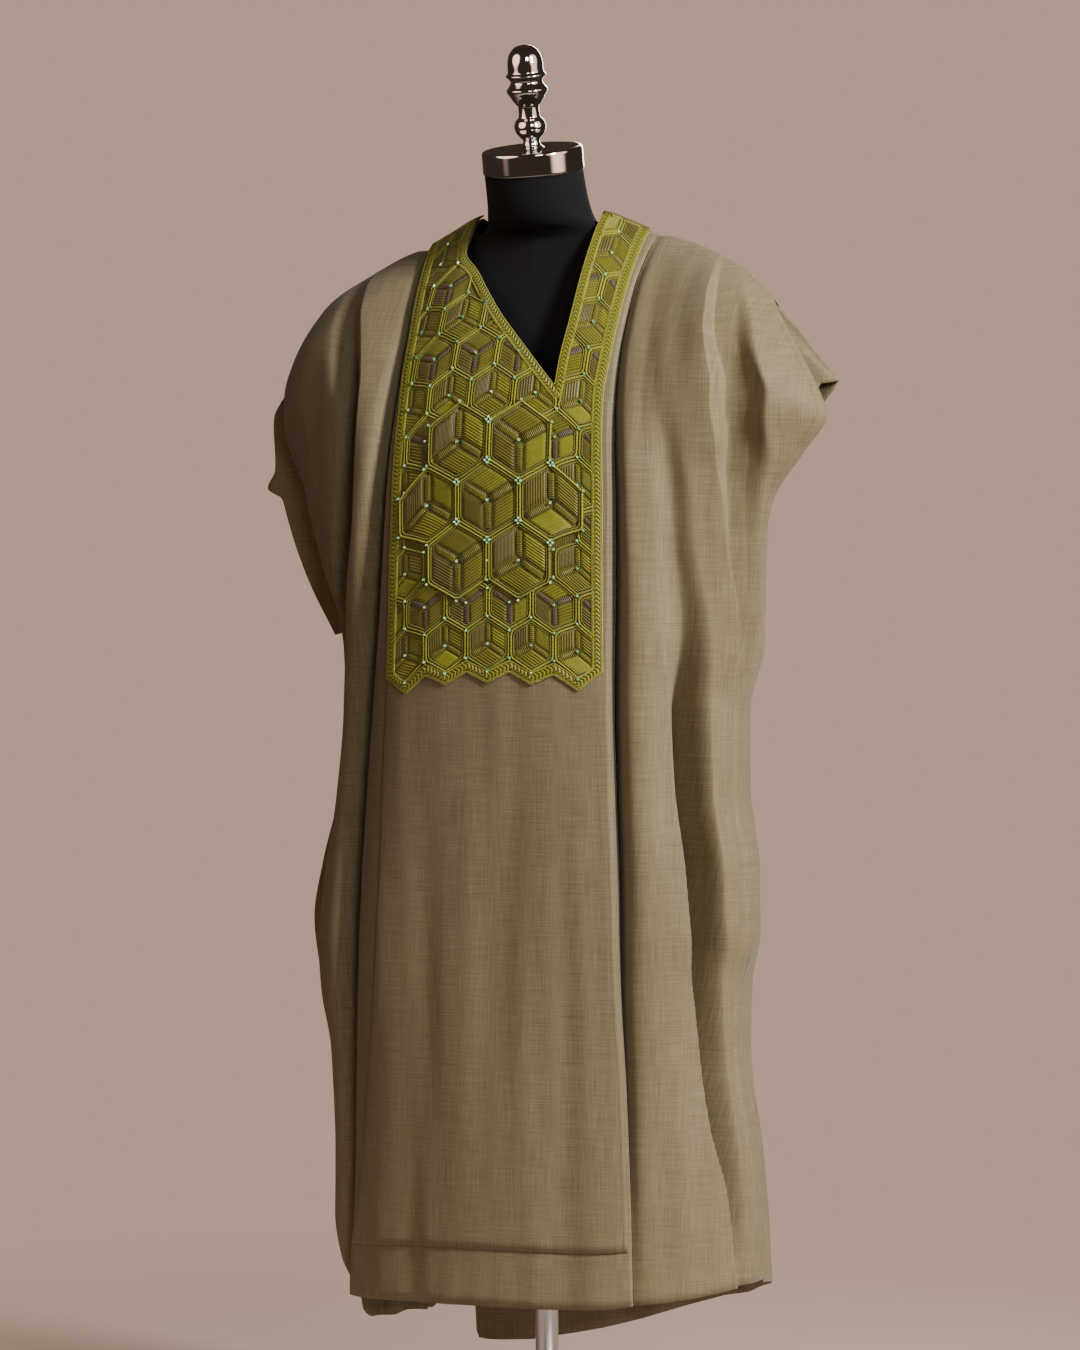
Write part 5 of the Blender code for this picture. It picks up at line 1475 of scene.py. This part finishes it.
def studio_world():
    """A room that is pale to look at and dim on matte surfaces, with two broad bright cards,
    on the left and the right, for what shines to mirror."""
    world = bpy.data.worlds.new("studio_room")
    world.use_nodes = True
    nodes = Nodes(world.node_tree)
    looked_at = nodes.add("ShaderNodeLightPath", {}, output="Is Camera Ray")
    mirrored = nodes.add("ShaderNodeLightPath", {}, output="Is Glossy Ray")
    way = nodes.add("ShaderNodeTexCoord", {}, output="Generated")
    total = looked_at * ROOM_SEEN + ROOM_STRENGTH
    for azimuth, bright in CARDS:
        side = nodes.add("ShaderNodeVectorMath", {"operation": "DOT_PRODUCT"}, way,
                         around(azimuth, 0.97, 0.24), output="Value")
        card = nodes.add("ShaderNodeMapRange", {"interpolation_type": "SMOOTHSTEP"}, side,
                         *CARD_EDGE, 0.0, bright)
        total = mirrored * card + total
    nodes.fill(nodes.tree.nodes["Background"], (("Color", ROOM_COLOUR), ("Strength", total)))
    return world


def make_studio():
    """A round floor in a pale room, a large key light from the camera's right, a weaker one
    in front, one behind, and the camera."""
    reach = np.linspace(0.02, FLOOR_FADE[1] + 0.1, 40)
    floor = add_piece("studio_floor", rings(reach, 0 * reach, 96).reshape(-1, 3),
                      cells(40, 96, flip=True, closed=True), floor_paint())
    for light in LIGHTS:
        add_light(*light)
    bpy.context.scene.world = studio_world()
    lens = bpy.data.cameras.new("camera")
    lens.sensor_fit, lens.sensor_height, lens.lens = "VERTICAL", 36.0, CAMERA_FOCAL
    camera = bpy.data.objects.new("camera", lens)
    place = Vector(around(CAMERA_AZIMUTH, CAMERA_DISTANCE, CAMERA_HEIGHT))
    ahead = -Vector(around(CAMERA_AZIMUTH, 1, 0))
    right = Vector(around(CAMERA_AZIMUTH + 90, 1, 0))
    pixel = PIXEL_SIZE / CAMERA_DISTANCE
    look = ahead + right * (-AXIS_PIXELS * pixel) + Vector((0, 0, -HORIZON_PIXELS * pixel))
    aim(camera, place, place + look)
    bpy.context.scene.camera = camera


def main():
    cloth, thread = suiting(), embroidery_thread()
    for make in (make_front, make_back, make_panel):
        make(cloth)
    make_yoke_cloth(yoke_ground())
    make_yoke_pattern(thread, crystal())
    make_yoke_border(thread)
    for side in (LEFT, RIGHT):
        for face in (FRONT, BACK):
            make_sleeve(side, face, cloth)
    for side in (LEFT, RIGHT):
        make_tuck(side, cloth)
    make_seams(seam_thread())
    make_form(jersey())
    make_stand(brushed_steel(), chrome())
    make_studio()


main()
